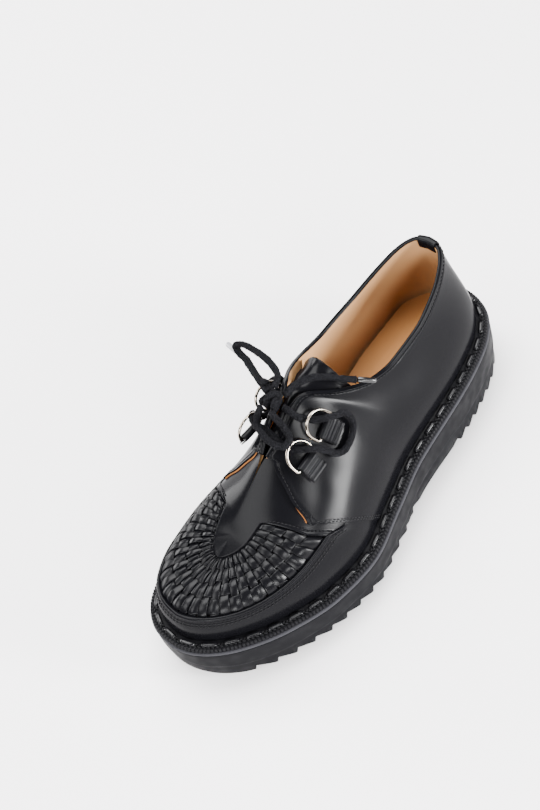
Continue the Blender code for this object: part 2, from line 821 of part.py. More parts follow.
def holder_frame(side, way, up):
    """Seat of a ring holder on the quarter, with its directions: along, up the wall and outward."""
    centre = wall_at(side, way, up, OVERLAY)
    outward = wall_normal(side, way, up)
    along = on_wall(side, way + READ_WAY, up) - on_wall(side, way - READ_WAY, up)
    along -= outward * np.dot(along, outward)
    along /= np.linalg.norm(along)
    climb = side * np.cross(outward, along)
    if climb[2] < 0.0:
        climb = -climb
    seat = 0.0
    for step in np.linspace(-0.026, 0.026, 9):
        for lift in np.linspace(-0.12, 0.12, 9):
            away = wall_at(side, way + step, up + lift, OVERLAY) - centre
            across = abs(np.dot(away, along)) < 0.5 * HOLDER_WIDTH + LEAF
            within = abs(np.dot(away, climb)) < 0.5 * HOLDER_LENGTH + LEAF
            if across and within:
                seat = max(seat, float(np.dot(away, outward)))
    return centre + outward * (seat + HOLDER_SEAT), along, climb, outward


HOLE = 0.5 * WIRE + GAP
BAR_HEIGHT = LEAF + HOLE
BAR_AHEAD = 0.5 * HOLDER_LENGTH - HOLE - LEAF


def holder_profile():
    """Folded strap round the bar of a ring: places along the strap and heights off the shoe."""
    fold = HOLE + LEAF
    points = [(-0.5 * HOLDER_LENGTH, 0.0), (BAR_AHEAD, 0.0)]
    for turn in (-60, -30, 0, 30, 60, 90):
        angle = math.radians(turn)
        points.append((BAR_AHEAD + fold * math.cos(angle), BAR_HEIGHT + fold * math.sin(angle)))
    start = BAR_AHEAD - 0.5 * WIRE
    run = start + 0.5 * HOLDER_LENGTH
    high = BAR_HEIGHT + fold
    low = 2.0 * LEAF + LEAF_GAP
    for step in range(7):
        part = 0.15 * step
        points.append((start - part * run, high + (low - high) * part + RIDGE * (step % 2)))
    points.append((-0.5 * HOLDER_LENGTH, low))
    points.append((-0.5 * HOLDER_LENGTH, LEAF + LEAF_GAP))
    for turn in (150, 100, 50, 0, -50, -100, -150):
        angle = math.radians(turn)
        points.append((BAR_AHEAD + HOLE * math.cos(angle), BAR_HEIGHT + HOLE * math.sin(angle)))
    points.append((-0.5 * HOLDER_LENGTH, LEAF))
    return points


def ring_path():
    """The ring's wire in its own plane: places along the bar and away from it."""
    half = 0.5 * (RING_WIDTH - WIRE)
    reach = RING_REACH - WIRE
    path = [(-half + BAR_ROUND, 0.0), (half - BAR_ROUND, 0.0), (half - 0.2 * BAR_ROUND, BAR_ROUND)]
    for turn in range(-6, 187, 24):
        angle = math.radians(turn)
        path.append((half * math.cos(angle), reach * (1.0 - ARC_SHARE + ARC_SHARE * math.sin(angle))))
    path.append((0.2 * BAR_ROUND - half, BAR_ROUND))
    return path


def build_ring(name, holder_name, side, way, up, tilt, materials):
    centre, along, climb, outward = holder_frame(side, way, up)
    mesh = Mesh()
    profile = holder_profile()
    ends = []
    for place in (-0.5 * HOLDER_WIDTH, 0.5 * HOLDER_WIDTH):
        ends.append([mesh.add(centre + along * place + climb * a + outward * b) for a, b in profile])
    mesh.strip(ends[0], ends[1], closed=True)
    mesh.face(*ends[0])
    mesh.face(*ends[1][::-1])
    make_object(holder_name, mesh, materials["holder"], 35)

    bar = centre + climb * BAR_AHEAD + outward * BAR_HEIGHT
    reach = climb * math.cos(math.radians(tilt)) + outward * math.sin(math.radians(tilt))
    path = [bar + along * a + reach * b for a, b in ring_path()]
    mesh = Mesh()
    tube(mesh, path, 0.5 * WIRE, 6, closed=True)
    make_object(name, mesh, materials["metal"], 60)
    return bar, along, climb, outward


def tube(mesh, path, radius, count, closed=False):
    """Round rod along a path, without twist."""
    rows = []
    first = None
    for i, point in enumerate(path):
        after = path[(i + 1) % len(path)] if closed or i + 1 < len(path) else point
        before = path[i - 1] if closed or i > 0 else point
        ahead = after - before
        ahead = ahead / np.linalg.norm(ahead)
        if first is None:
            first = np.cross(ahead, (0.31, 0.77, 0.55))
        first = first - ahead * np.dot(first, ahead)
        first = first / np.linalg.norm(first)
        second = np.cross(ahead, first)
        turns = [2.0 * math.pi * k / count for k in range(count)]
        rows.append([mesh.add(point + radius * (first * math.cos(t) + second * math.sin(t))) for t in turns])
    for i in range(len(rows) if closed else len(rows) - 1):
        mesh.strip(rows[i], rows[(i + 1) % len(rows)], closed=True)
    if not closed:
        mesh.face(*rows[0])
        mesh.face(*rows[-1][::-1])


def rounded(route):
    """Even points on a smooth curve through the route, with short legs square to its two faces."""
    points = np.array(route, float)
    padded = np.vstack([2 * points[0] - points[1], points, 2 * points[-1] - points[-2]])
    chord = np.sqrt(np.linalg.norm(np.diff(padded, axis=0), axis=1))
    fine = []
    for i in range(1, len(padded) - 2):
        before, start, end, after = padded[i - 1:i + 3]
        near, here, far = chord[i - 1:i + 2]
        leaving = (start - before) / near - (end - before) / (near + here) + (end - start) / here
        reaching = (end - start) / here - (after - start) / (here + far) + (after - end) / far
        for t in np.linspace(0.0, 1.0, 12, endpoint=False):
            rise = t * t * (3.0 - 2.0 * t)
            bend = here * t * (1.0 - t) * ((1.0 - t) * leaving - t * reaching)
            fine.append(start + (end - start) * rise + bend)
    fine.append(points[-1])
    fine = np.array(fine)
    walk = np.concatenate([[0.0], np.cumsum(np.linalg.norm(np.diff(fine, axis=0), axis=1))])
    even = np.linspace(0.0, walk[-1], max(3, int(round(walk[-1] / LACE_LEG)) + 1))
    square = LACE_SQUARE * LACE
    places = np.concatenate([[0.0, square], even[1:-1], [walk[-1] - square, walk[-1]]])
    return [np.array([np.interp(p, walk, fine[:, k]) for k in range(3)]) for p in places]


def cord(name, points, material):
    """A free length of the lace as a filled round curve."""
    data = bpy.data.curves.new(name, "CURVE")
    data.dimensions = "3D"
    data.bevel_depth = 0.5 * LACE
    data.bevel_resolution = 2
    data.use_fill_caps = True
    line = data.splines.new("POLY")
    line.points.add(len(points) - 1)
    for slot, point in zip(line.points, points):
        slot.co = (point[0] - MIDDLE, point[1], point[2], 1.0)
    data.materials.append(material)
    body = bpy.data.objects.new(name, data)
    bpy.context.scene.collection.objects.link(body)


def knot_point(turn):
    """Middle line of the knot after a number of its turns."""
    angle = 2.0 * math.pi * turn
    shift = KNOT_PITCH * (turn - 0.5 * KNOT_TURNS)
    return np.array(KNOT) + np.array([shift, KNOT_RADIUS * math.sin(angle), KNOT_RADIUS * math.cos(angle)])


def leave_knot(name):
    """First two points of a length of lace whose face meets the knot."""
    turn, lean = LEAVES[name]
    angle = 2.0 * math.pi * turn
    along = knot_point(turn + 0.01) - knot_point(turn - 0.01)
    along = along / np.linalg.norm(along)
    away = np.array([lean, math.sin(angle), math.cos(angle)])
    away = away - along * (away @ along)
    away = away / np.linalg.norm(away)
    face = knot_point(turn) + away * (0.5 * LACE + GAP)
    return [face, face + away * LACE_SQUARE * LACE]


def lace_route(rings):
    """Middle line of the lace through the four rings, from knot to knot."""
    sides = []
    for side, label in ((1, "outer"), (-1, "inner")):
        route = leave_knot(label)
        for ring, steps in ((label + "_upper", THREADING), (label + "_lower", THREADING[::-1])):
            bar, along, climb, outward = rings[ring]
            route += [bar + climb * away + along * ahead + outward * lift for away, ahead, lift in steps]
            if ring == label + "_upper":
                off = OVERLAY + 0.5 * LACE + LACE_CLEAR
                route += [wall_at(side, way, up, off) for way, up in LACE_TURN]
        sides.append(route)
    middle = 0.5 * (sides[0][-1] + sides[1][-1]) + np.array((0.0, 0.0, CROSSING_RISE))
    return sides[0] + [middle] + sides[1][::-1]


def tip(name, points, material):
    """Stiff wrapped end of the lace, straight on from its last leg."""
    ahead = points[-1] - points[-2]
    ahead = ahead / np.linalg.norm(ahead)
    first = points[-1] + ahead * GAP
    mesh = Mesh()
    tube(mesh, [first + ahead * TIP_LENGTH * share for share in (0.0, 0.5, 1.0)], 0.5 * TIP_WIDTH, 8)
    make_object(name, mesh, material, 50)


def build_lace(rings, materials):
    """Lace through the four rings, tied over the throat in a bow with two loops and two ends."""
    mesh = Mesh()
    tube(mesh, rounded(lace_route(rings)), 0.5 * LACE, 6)
    make_object("lace_crossing", mesh, materials["cord"], 60)
    turns = np.linspace(0.0, KNOT_TURNS, 14 * KNOT_TURNS + 1)
    cord("lace_knot", [knot_point(turn) for turn in turns], materials["cord"])
    for label, route in (("loop_top", TOP_LOOP), ("loop_lower", LOWER_LOOP)):
        points = leave_knot(label + "_first") + list(route) + leave_knot(label + "_last")[::-1]
        cord("lace_" + label, rounded(points), materials["cord"])
    for shade, route in (("grey", GREY_END), ("black", BLACK_END)):
        points = rounded(leave_knot("end_" + shade) + list(route))
        cord("lace_end_" + shade, points, materials["cord"])
        tip("lace_tip_" + shade, points, materials[shade + "_tip"])


def main():
    for old in list(bpy.data.objects):
        bpy.data.objects.remove(old, do_unlink=True)
    materials = {
        "leather": make_material("black_leather", (0.008, 0.008, 0.009), 0.28),
        "welt": make_material("welt_leather", (0.010, 0.010, 0.011), 0.45),
        "holder": make_material("holder_leather", (0.009, 0.009, 0.010), 0.38),
        "lacing": make_material("thong_leather", (0.010, 0.010, 0.011), 0.30),
        "rubber": make_material("black_rubber", (0.012, 0.012, 0.013), 0.62),
        "band": make_material("grey_band", (0.055, 0.056, 0.058), 0.60),
        "insole": make_material("tan_leather", (0.42, 0.22, 0.10), 0.50),
        "metal": make_material("nickel", (0.75, 0.72, 0.66), 0.18, 1.0),
        "cord": make_material("black_cotton", (0.010, 0.010, 0.011), 0.85),
        "grey_tip": make_material("grey_tip", (0.20, 0.20, 0.21), 0.40),
        "black_tip": make_material("black_tip", (0.012, 0.012, 0.013), 0.25),
    }
    build_sole(materials)
    build_thong(materials)
    build_upper(materials)
    build_tongue(materials)
    build_panel(materials)
    rings = {}
    for name, side, way, up, tilt in RINGS:
        rings[name] = build_ring("ring_" + name, "holder_" + name, side, way, up, tilt, materials)
    build_lace(rings, materials)


main()
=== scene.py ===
"""Looks of the creeper shoe: leather, rubber, weave, stitches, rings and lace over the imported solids.

Lengths are in metres. The toe points to -Y, the heel to +Y, and +X is the outer side of the foot.
"""

import math

import bmesh
import bpy
import numpy as np
from mathutils import Matrix, Vector


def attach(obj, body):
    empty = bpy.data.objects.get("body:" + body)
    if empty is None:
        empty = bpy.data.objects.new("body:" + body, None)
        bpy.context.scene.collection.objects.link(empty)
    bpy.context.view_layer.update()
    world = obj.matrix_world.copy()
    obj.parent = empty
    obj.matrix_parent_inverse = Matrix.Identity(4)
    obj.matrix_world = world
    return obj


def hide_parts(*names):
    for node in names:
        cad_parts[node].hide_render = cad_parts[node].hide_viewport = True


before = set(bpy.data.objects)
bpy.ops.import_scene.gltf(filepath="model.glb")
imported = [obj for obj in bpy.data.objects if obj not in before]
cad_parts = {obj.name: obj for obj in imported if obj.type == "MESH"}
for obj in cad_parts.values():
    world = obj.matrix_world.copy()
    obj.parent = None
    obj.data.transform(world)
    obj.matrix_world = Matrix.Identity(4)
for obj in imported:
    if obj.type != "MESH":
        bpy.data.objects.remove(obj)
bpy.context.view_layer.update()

# Sole
SOLE_LENGTH = 0.303
BALL_WIDTH = 0.112
HEEL_RISE = 0.0370
BALL_RISE = 0.0255
TOE_RISE = 0.034
TOE_SPRING = 0.010
TOE_SWING = 0.0063
WAIST_ARCH = 0.003
HEEL_BEVEL = 0.003
SIDE_TAPER = 0.0014
BAND_THICK = 0.0022
WELT_THICK = 0.0030
WELT_SHOWN = 0.0092
RIM_SETBACK = 0.0008

# Saw teeth under the sole
TOOTH_PITCH = 0.0115
HEEL_TOOTH_PITCH = 0.0102
TOOTH_DEPTH = 0.0040
TOOTH_LAND = 0.0012
TOE_PAD = 0.0220
HEEL_PAD = 0.0200
TOE_TEETH = 13
HEEL_TEETH = 7
HEEL_CUT_AT = 0.34
TOE_CUT_AT = 0.90

# Upper
WALL = 0.0022
OVERLAY = 0.0013
HEEL_TOP = 0.1035
UPPER_SHIFT = 0.0026
GAP = 0.0003

# Where things sit round one side, as shares of the way from the toe tip to the heel back
PANEL_END = 0.345
SEAM = 0.372
THROAT = 0.465
COLLAR = 0.580
SEAM_SLANT = 0.092
SLANT_TOP = 0.50

# Steps in which the rim and the lines up the wall are worked out, and over which directions are read
RIM_STEPS = 1601
LINE_STEPS = 161
READ_WAY = 0.006
READ_UP = 0.011

# Insole and tongue
INSOLE_THICK = 0.0035
TONGUE_THICK = 0.0020
TONGUE_CLEAR = 0.0014

# Woven panel
RADIAL_STRIPS = 28
CROSS_STRIPS = 4

# Welt thong
DASHES = 50
THONG_WIDTH = 0.0032
THONG_CLEAR = 0.0026

# Rings, holders and lace
RING_WIDTH = 0.0202
RING_REACH = 0.0165
WIRE = 0.00235
BAR_ROUND = 0.0010
ARC_SHARE = 0.64
HOLDER_WIDTH = 0.0140
HOLDER_LENGTH = 0.0130
HOLDER_SEAT = 0.0004
LEAF = 0.0009
LEAF_GAP = 0.0002
RIDGE = 0.0005
LACE = 0.0052
LACE_CLEAR = 0.0011
LACE_LEG = 0.00034
LACE_SQUARE = 0.3
TIP_LENGTH = 0.0115
TIP_WIDTH = 0.0036

# share of the length from the heel, outer half width, inner half width (shares of the ball width)
OUTLINE = (
    (0.00, 0.000, 0.000),
    (0.04, 0.240, 0.240),
    (0.12, 0.352, 0.340),
    (0.25, 0.412, 0.340),
    (0.40, 0.433, 0.318),
    (0.52, 0.492, 0.366),
    (0.64, 0.548, 0.445),
    (0.74, 0.519, 0.470),
    (0.84, 0.433, 0.440),
    (0.93, 0.301, 0.345),
    (0.98, 0.168, 0.210),
    (1.00, 0.000, 0.000),
)

# share of the length from the heel, share of the heel rise, share of the toe rise (the rest is the ball's)
SOLE_TOP = (
    (0.00, 1.00, 0.00),
    (0.22, 0.97, 0.00),
    (0.36, 0.72, 0.00),
    (0.50, 0.34, 0.00),
    (0.62, 0.05, 0.00),
    (0.72, 0.00, 0.02),
    (0.82, 0.00, 0.22),
    (0.92, 0.00, 0.60),
    (1.00, 0.00, 1.00),
)

# share of the length from the heel, share of the toe spring, share of the waist arch, share of the heel bevel
SOLE_BASE = (
    (0.000, 0.00, 0.00, 1.00),
    (0.020, 0.00, 0.00, 0.00),
    (0.270, 0.00, 0.00, 0.00),
    (0.300, 0.00, 1.00, 0.00),
    (0.480, 0.00, 1.00, 0.00),
    (0.500, 0.00, 0.00, 0.00),
    (0.850, 0.00, 0.00, 0.00),
    (0.900, 0.07, 0.00, 0.00),
    (0.940, 0.25, 0.00, 0.00),
    (0.975, 0.60, 0.00, 0.00),
    (1.000, 1.00, 0.00, 0.00),
)

# way round one side, top edge: share of the length from the heel, half width (share of the ball width),
# height (share of the heel top)
TOP_EDGE = (
    (0.000, 0.795, 0.000, 0.638),
    (0.200, 0.780, 0.000, 0.657),
    (0.350, 0.755, 0.000, 0.705),
    (0.400, 0.735, 0.000, 0.744),
    (0.440, 0.690, 0.000, 0.826),
    (0.465, 0.640, 0.000, 0.918),
    (0.475, 0.620, 0.040, 0.957),
    (0.510, 0.578, 0.045, 1.040),
    (0.550, 0.535, 0.045, 1.112),
    (0.580, 0.510, 0.065, 1.115),
    (0.600, 0.490, 0.115, 1.070),
    (0.640, 0.444, 0.185, 0.990),
    (0.690, 0.391, 0.222, 0.915),
    (0.750, 0.325, 0.234, 0.872),
    (0.820, 0.246, 0.228, 0.872),
    (0.890, 0.160, 0.197, 0.913),
    (0.950, 0.088, 0.130, 0.976),
    (0.980, 0.064, 0.066, 0.996),
    (1.000, 0.060, 0.000, 1.000),
)

# way round one side, first handle's rise and lean (a share of the ball width), last handle's reach and drop
WALL_SHAPE = (
    (0.000, 1.15, 0.012, 0.60, 0.00),
    (0.200, 0.98, 0.016, 0.58, 0.00),
    (0.350, 0.76, 0.018, 0.54, 0.00),
    (0.420, 0.64, 0.018, 0.50, 0.00),
    (0.465, 0.57, 0.018, 0.42, 0.00),
    (0.480, 0.54, 0.018, 0.40, 0.06),
    (0.570, 0.45, 0.022, 0.35, 0.16),
    (0.620, 0.40, 0.026, 0.34, 0.30),
    (0.750, 0.35, 0.030, 0.30, 0.35),
    (0.900, 0.35, 0.024, 0.25, 0.35),
    (1.000, 0.35, 0.018, 0.20, 0.35),
)

# way round one side, share of the seam's slant
SLANT = (
    (0.000, 0.00),
    (0.250, 0.05),
    (0.345, 0.75),
    (0.372, 1.00),
    (0.465, 0.42),
    (0.580, 0.12),
    (0.700, 0.00),
    (1.000, 0.00),
)

# way round one side, heights up the wall: toe wall's edge, panel's inner edge, facing edge
WALL_LINES = (
    (0.000, 0.290, 0.840, 0.920),
    (0.120, 0.305, 0.830, 0.920),
    (0.210, 0.335, 0.820, 0.910),
    (0.345, 0.375, 0.800, 0.900),
    (0.372, 0.300, 0.420, 0.525),
    (0.405, 0.300, 0.520, 0.665),
    (0.440, 0.300, 0.620, 0.800),
    (0.465, 0.300, 0.680, 0.955),
    (0.600, 0.300, 0.660, 0.955),
    (1.000, 0.300, 0.660, 0.955),
)

# way round one side, height of the middle over the facing edge, heights of the side points up the wall
TONGUE_ROWS = (
    (0.430, -0.0040, (0.80, 0.87, 0.94)),
    (0.450, -0.0036, (0.77, 0.86, 0.94)),
    (0.467, -0.0020, (0.74, 0.83, 0.92)),
    (0.490, 0.0000, (0.72, 0.82, 0.92)),
    (0.530, 0.0006, (0.70, 0.80, 0.92)),
    (0.570, 0.0008, (0.68, 0.78, 0.92)),
    (0.600, 0.0035, (0.68, 0.78, 0.88)),
    (0.630, 0.0100, (0.66, 0.75, 0.84)),
)

# ring holders: name, side, way round, height up the wall, tilt of the ring in degrees
RINGS = (
    ("outer_lower", 1, 0.461, 0.69, 14.0),
    ("outer_upper", 1, 0.526, 0.72, 14.0),
    ("inner_lower", -1, 0.461, 0.69, 34.0),
    ("inner_upper", -1, 0.530, 0.72, 34.0),
)

# lace through a ring, from under its arc to the shoe's side: distance up the wall from the bar,
# distance towards the heel, height off the bar
THREADING = (
    (0.0185, -0.0010, 0.0006),
    (0.0138, 0.0000, -0.0009),
    (0.0080, 0.0020, 0.0018),
    (0.0035, 0.0055, 0.0056),
    (-0.0010, 0.0088, 0.0063),
    (-0.0060, 0.0122, 0.0034),
)

# lace round the outside of an upper holder: way round, height up the wall
LACE_TURN = (
    (0.5525, 0.620),
    (0.5300, 0.585),
    (0.5050, 0.595),
    (0.4940, 0.640),
)

# the knot's middle, with x before the whole shoe is centred, and the lengths of lace that leave it:
# turn of the knot, lean to the outer side
KNOT = (-0.0055, -0.0190, 0.1214)
KNOT_RADIUS = 0.0041
KNOT_PITCH = 0.0056
KNOT_TURNS = 2
CROSSING_RISE = 0.0030
LEAVES = {
    "outer": (1.50, 4.0),
    "inner": (0.56, -8.0),
    "loop_top_first": (1.12, -0.3),
    "loop_top_last": (0.12, -0.9),
    "loop_lower_first": (0.75, -0.2),
    "loop_lower_last": (1.75, 0.5),
    "end_grey": (0.32, -0.7),
    "end_black": (1.30, 0.4),
}

# routes of the loops and ends between the knot and their far ends, in the knot's own frame
TOP_LOOP = (
    (-0.0085, -0.0070, 0.1280),
    (-0.0188, -0.0016, 0.1288),
    (-0.0331, 0.0013, 0.1286),
    (-0.0425, 0.0017, 0.1278),
    (-0.0472, 0.0001, 0.1252),
    (-0.0435, -0.0017, 0.1228),
    (-0.0365, -0.0036, 0.1224),
    (-0.0267, -0.0085, 0.1228),
    (-0.0185, -0.0125, 0.1243),
)
LOWER_LOOP = (
    (-0.0085, -0.0335, 0.1142),
    (-0.0010, -0.0378, 0.1125),
    (0.0080, -0.0390, 0.1100),
    (0.0135, -0.0362, 0.1087),
    (0.0130, -0.0312, 0.1094),
    (0.0075, -0.0282, 0.1140),
)
GREY_END = (
    (-0.0205, -0.0110, 0.1170),
    (-0.0280, -0.0075, 0.1165),
    (-0.0360, -0.0035, 0.1162),
    (-0.0430, 0.0000, 0.1160),
    (-0.0485, 0.0013, 0.1160),
)
BLACK_END = (
    (-0.0012, -0.0050, 0.1196),
    (0.0025, 0.0060, 0.1168),
    (0.0085, 0.0130, 0.1130),
    (0.0160, 0.0188, 0.1088),
    (0.0212, 0.0236, 0.1055),
)


def smooth(table, column, at):
    """Read one column of a table at the given places, with a monotone cubic between its rows."""
    x = np.array([row[0] for row in table])
    y = np.array([row[column] for row in table])
    step = np.diff(x)
    slope = np.diff(y) / step
    tangent = np.zeros(len(x))
    tangent[0] = slope[0]
    tangent[-1] = slope[-1]
    for i in range(1, len(x) - 1):
        if slope[i - 1] * slope[i] > 0.0:
            near = 2.0 * step[i] + step[i - 1]
            far = step[i] + 2.0 * step[i - 1]
            tangent[i] = (near + far) / (near / slope[i - 1] + far / slope[i])
    at = np.clip(np.asarray(at, float), x[0], x[-1])
    cell = np.clip(np.searchsorted(x, at, side="right") - 1, 0, len(x) - 2)
    t = (at - x[cell]) / step[cell]
    low = (1 + 2 * t) * (1 - t) ** 2 * y[cell] + t * (1 - t) ** 2 * step[cell] * tangent[cell]
    high = t * t * (3 - 2 * t) * y[cell + 1] + t * t * (t - 1) * step[cell] * tangent[cell + 1]
    return low + high


def sole_top(share):
    """Height of the grey band's top edge."""
    heel = smooth(SOLE_TOP, 1, share)
    toe = smooth(SOLE_TOP, 2, share)
    return BALL_RISE + (HEEL_RISE - BALL_RISE) * heel + (TOE_RISE - BALL_RISE) * toe


def sole_base(share):
    """Height of the sole's underside at the tooth tips."""
    spring = smooth(SOLE_BASE, 1, share)
    arch = smooth(SOLE_BASE, 2, share)
    bevel = smooth(SOLE_BASE, 3, share)
    return TOE_SPRING * spring + WAIST_ARCH * arch + HEEL_BEVEL * bevel


def share_at(y):
    """Share of the length from the heel at a place along the shoe."""
    return 0.5 - y / SOLE_LENGTH


OUTLINE_TURN = tuple((math.acos(1 - 2 * row[0]) / math.pi, row[1], row[2]) for row in OUTLINE)


def swing_at(share):
    """How far the toe leans to the inner side."""
    return TOE_SWING * np.clip((np.asarray(share, float) - 0.6) / 0.4, 0.0, 1.0) ** 2


def rim_at(side, share):
    """Plan point on the sole's rim."""
    turn = np.arccos(1 - 2 * np.clip(share, 0.0, 1.0)) / math.pi
    column = 1 if side > 0 else 2
    x = side * BALL_WIDTH * smooth(OUTLINE_TURN, column, turn) - swing_at(share)
    return x, SOLE_LENGTH * (0.5 - share)


def half_rim(side):
    """One side of the rim from the toe tip to the heel back: points, outward directions, way walked."""
    turn = np.linspace(0.0, 1.0, RIM_STEPS)
    share = 0.5 + 0.5 * np.cos(math.pi * turn)
    x, y = rim_at(side, share)
    dx = np.gradient(x)
    dy = np.gradient(y)
    dx[0] = dx[1]
    dx[-1] = dx[-2]
    dy[0] = 0.0
    dy[-1] = 0.0
    size = np.hypot(dx, dy)
    out_x = side * dy / size
    out_y = -side * dx / size
    walk = np.concatenate([[0.0], np.cumsum(np.hypot(np.diff(x), np.diff(y)))])
    return x, y, out_x, out_y, walk / walk[-1]


RIMS = {side: half_rim(side) for side in (1, -1)}
MIDDLE = 0.5 * float(max(RIMS[1][0]) + min(RIMS[-1][0]))


def rim_point(side, way, inset):
    """Plan point a set distance inside the rim, a share of the way round one side."""
    x, y, out_x, out_y, walk = RIMS[side]
    ox = np.interp(way, walk, out_x)
    oy = np.interp(way, walk, out_y)
    px = np.interp(way, walk, x) - ox * inset
    py = np.interp(way, walk, y) - oy * inset
    return px, py, ox, oy


def way_at(side, share):
    """Share of the way round one side at which the rim passes a share of the length."""
    rim = RIMS[side]
    return np.interp(SOLE_LENGTH * (0.5 - share), rim[1], rim[4])


def feather(side, way):
    """Lower edge of the upper, on the welt."""
    x, y, ox, oy = rim_point(side, way, WELT_SHOWN)
    z = sole_top(share_at(y)) + GAP + WELT_THICK + GAP
    return np.array([x, y, z]), np.array([ox, oy, 0.0])


def top_edge(side, way):
    """Top edge of the upper, from the plug's middle line round the collar to the heel."""
    share = smooth(TOP_EDGE, 1, way)
    x = side * BALL_WIDTH * smooth(TOP_EDGE, 2, way) - UPPER_SHIFT - 0.5 * swing_at(share)
    return np.array([x, SOLE_LENGTH * (0.5 - share), HEEL_TOP * smooth(TOP_EDGE, 3, way)])


# Lines of points


def walked(points):
    """Length walked along a line of points, at each of them."""
    return np.concatenate([[0.0], np.cumsum(np.linalg.norm(np.diff(points, axis=0), axis=1))])


def read_line(spots, marks, line):
    """Points of a line at the given places, between the marks of its own points."""
    return np.stack([np.interp(spots, marks, line[:, k]) for k in range(3)], axis=-1)


def unit(ways):
    """The same directions with a length of one."""
    return ways / np.linalg.norm(ways, axis=-1, keepdims=True)


# Walls of the upper, and what is set on them

CURVES = {}


def wall_curve(side, way):
    """Line up the wall of the upper from the welt to its top edge, with the way walked along it."""
    key = (side, round(way, 6))
    if key in CURVES:
        return CURVES[key]
    low, outward = feather(side, way)
    top = top_edge(side, way)
    rise = float(smooth(WALL_SHAPE, 1, way))
    bulge = BALL_WIDTH * float(smooth(WALL_SHAPE, 2, way))
    reach = float(smooth(WALL_SHAPE, 3, way))
    drop = float(smooth(WALL_SHAPE, 4, way))
    first = low + outward * bulge + np.array([0.0, 0.0, rise * (top[2] - low[2])])
    last = top + reach * (low - top) * np.array([1.0, 1.0, 0.0])
    if way <= THROAT:
        ahead = top_edge(side, max(way - 0.01, 0.0))
        behind = top_edge(side, min(way + 0.01, THROAT))
        slope = (behind[2] - ahead[2]) / (behind[1] - ahead[1])
        last[2] = top[2] + slope * (last[1] - top[1])
    last[2] -= drop * (top[2] - low[2])
    t = np.linspace(0.0, 1.0, LINE_STEPS)[:, None]
    line = (1 - t) ** 3 * low + 3 * t * (1 - t) ** 2 * first + 3 * t * t * (1 - t) * last + t ** 3 * top
    walk = walked(line)
    CURVES[key] = (line, walk / walk[-1])
    return CURVES[key]


def on_wall(side, way, up):
    """Point on the upper's plain surface, also a little past the toe tip or the heel back."""
    if way < 0.0:
        side = -side
        way = -way
    if way > 1.0:
        side = -side
        way = 2.0 - way
    line, walk = wall_curve(side, way)
    return read_line(up, walk, line)


def wall_normal(side, way, up):
    """Outward direction of the upper's surface."""
    up = min(max(up, READ_UP), 1.0 - READ_UP)
    along = on_wall(side, way + READ_WAY, up) - on_wall(side, way - READ_WAY, up)
    climb = on_wall(side, way, up + READ_UP) - on_wall(side, way, up - READ_UP)
    if min(way, 1.0 - way) < 0.5 * READ_WAY:
        along = np.array([side * abs(along[0]) * (1 if way < 0.5 else -1), 0.0, 0.0])
        climb[0] = 0.0
    return unit(side * np.cross(along, climb))


def wall_at(side, way, up, lift=0.0):
    """Point on the upper, lifted off its surface by a set distance."""
    point = on_wall(side, way, up)
    normal = wall_normal(side, way, up)
    if up == 1.0 and way <= THROAT:
        other = wall_normal(-side, way, up)
        normal = unit((normal + other) * np.array([0.0, 1.0, 1.0]))
    return point + normal * lift


def line_height(way, which):
    """Height up the wall of one of the panel and facing lines."""
    return float(smooth(WALL_LINES, which, way))


def holder_frame(side, way, up):
    """Seat of a ring holder on the quarter, with its directions: along, up the wall and outward."""
    centre = wall_at(side, way, up, OVERLAY)
    outward = wall_normal(side, way, up)
    along = on_wall(side, way + READ_WAY, up) - on_wall(side, way - READ_WAY, up)
    along = unit(along - outward * np.dot(along, outward))
    climb = side * np.cross(outward, along)
    if climb[2] < 0.0:
        climb = -climb
    seat = 0.0
    for step in np.linspace(-0.026, 0.026, 9):
        for lift in np.linspace(-0.12, 0.12, 9):
            away = wall_at(side, way + step, up + lift, OVERLAY) - centre
            across = abs(np.dot(away, along)) < 0.5 * HOLDER_WIDTH + LEAF
            within = abs(np.dot(away, climb)) < 0.5 * HOLDER_LENGTH + LEAF
            if across and within:
                seat = max(seat, float(np.dot(away, outward)))
    return centre + outward * (seat + HOLDER_SEAT), along, climb, outward


# The frame's origin is under the middle of the whole shoe. The functions above count from the sole's own
# middle line instead, which lies this far to one side.
TO_FRAME = np.array([MIDDLE, 0.0, 0.0])

HOLE = 0.5 * WIRE + GAP
BAR_HEIGHT = LEAF + HOLE
BAR_AHEAD = 0.5 * HOLDER_LENGTH - HOLE - LEAF


def rounded(route):
    """Even points on a smooth curve through the route, with short legs square to its faces, in the frame."""
    points = np.array(route, float)
    padded = np.vstack([2 * points[0] - points[1], points, 2 * points[-1] - points[-2]])
    chord = np.sqrt(np.linalg.norm(np.diff(padded, axis=0), axis=1))
    fine = []
    for i in range(1, len(padded) - 2):
        before, start, end, after = padded[i - 1:i + 3]
        near, here, far = chord[i - 1:i + 2]
        leaving = (start - before) / near - (end - before) / (near + here) + (end - start) / here
        reaching = (end - start) / here - (after - start) / (here + far) + (after - end) / far
        for t in np.linspace(0.0, 1.0, 12, endpoint=False):
            rise = t * t * (3.0 - 2.0 * t)
            bend = here * t * (1.0 - t) * ((1.0 - t) * leaving - t * reaching)
            fine.append(start + (end - start) * rise + bend)
    fine.append(points[-1])
    fine = np.array(fine)
    walk = walked(fine)
    even = np.linspace(0.0, walk[-1], max(3, int(round(walk[-1] / LACE_LEG)) + 1))
    square = LACE_SQUARE * LACE
    places = np.concatenate([[0.0, square], even[1:-1], [walk[-1] - square, walk[-1]]])
    return read_line(places, walk, fine) - TO_FRAME


def knot_point(turn):
    """Middle line of the knot after a number of its turns."""
    angle = 2.0 * math.pi * turn
    shift = KNOT_PITCH * (turn - 0.5 * KNOT_TURNS)
    return np.array(KNOT) + np.array([shift, KNOT_RADIUS * math.sin(angle), KNOT_RADIUS * math.cos(angle)])


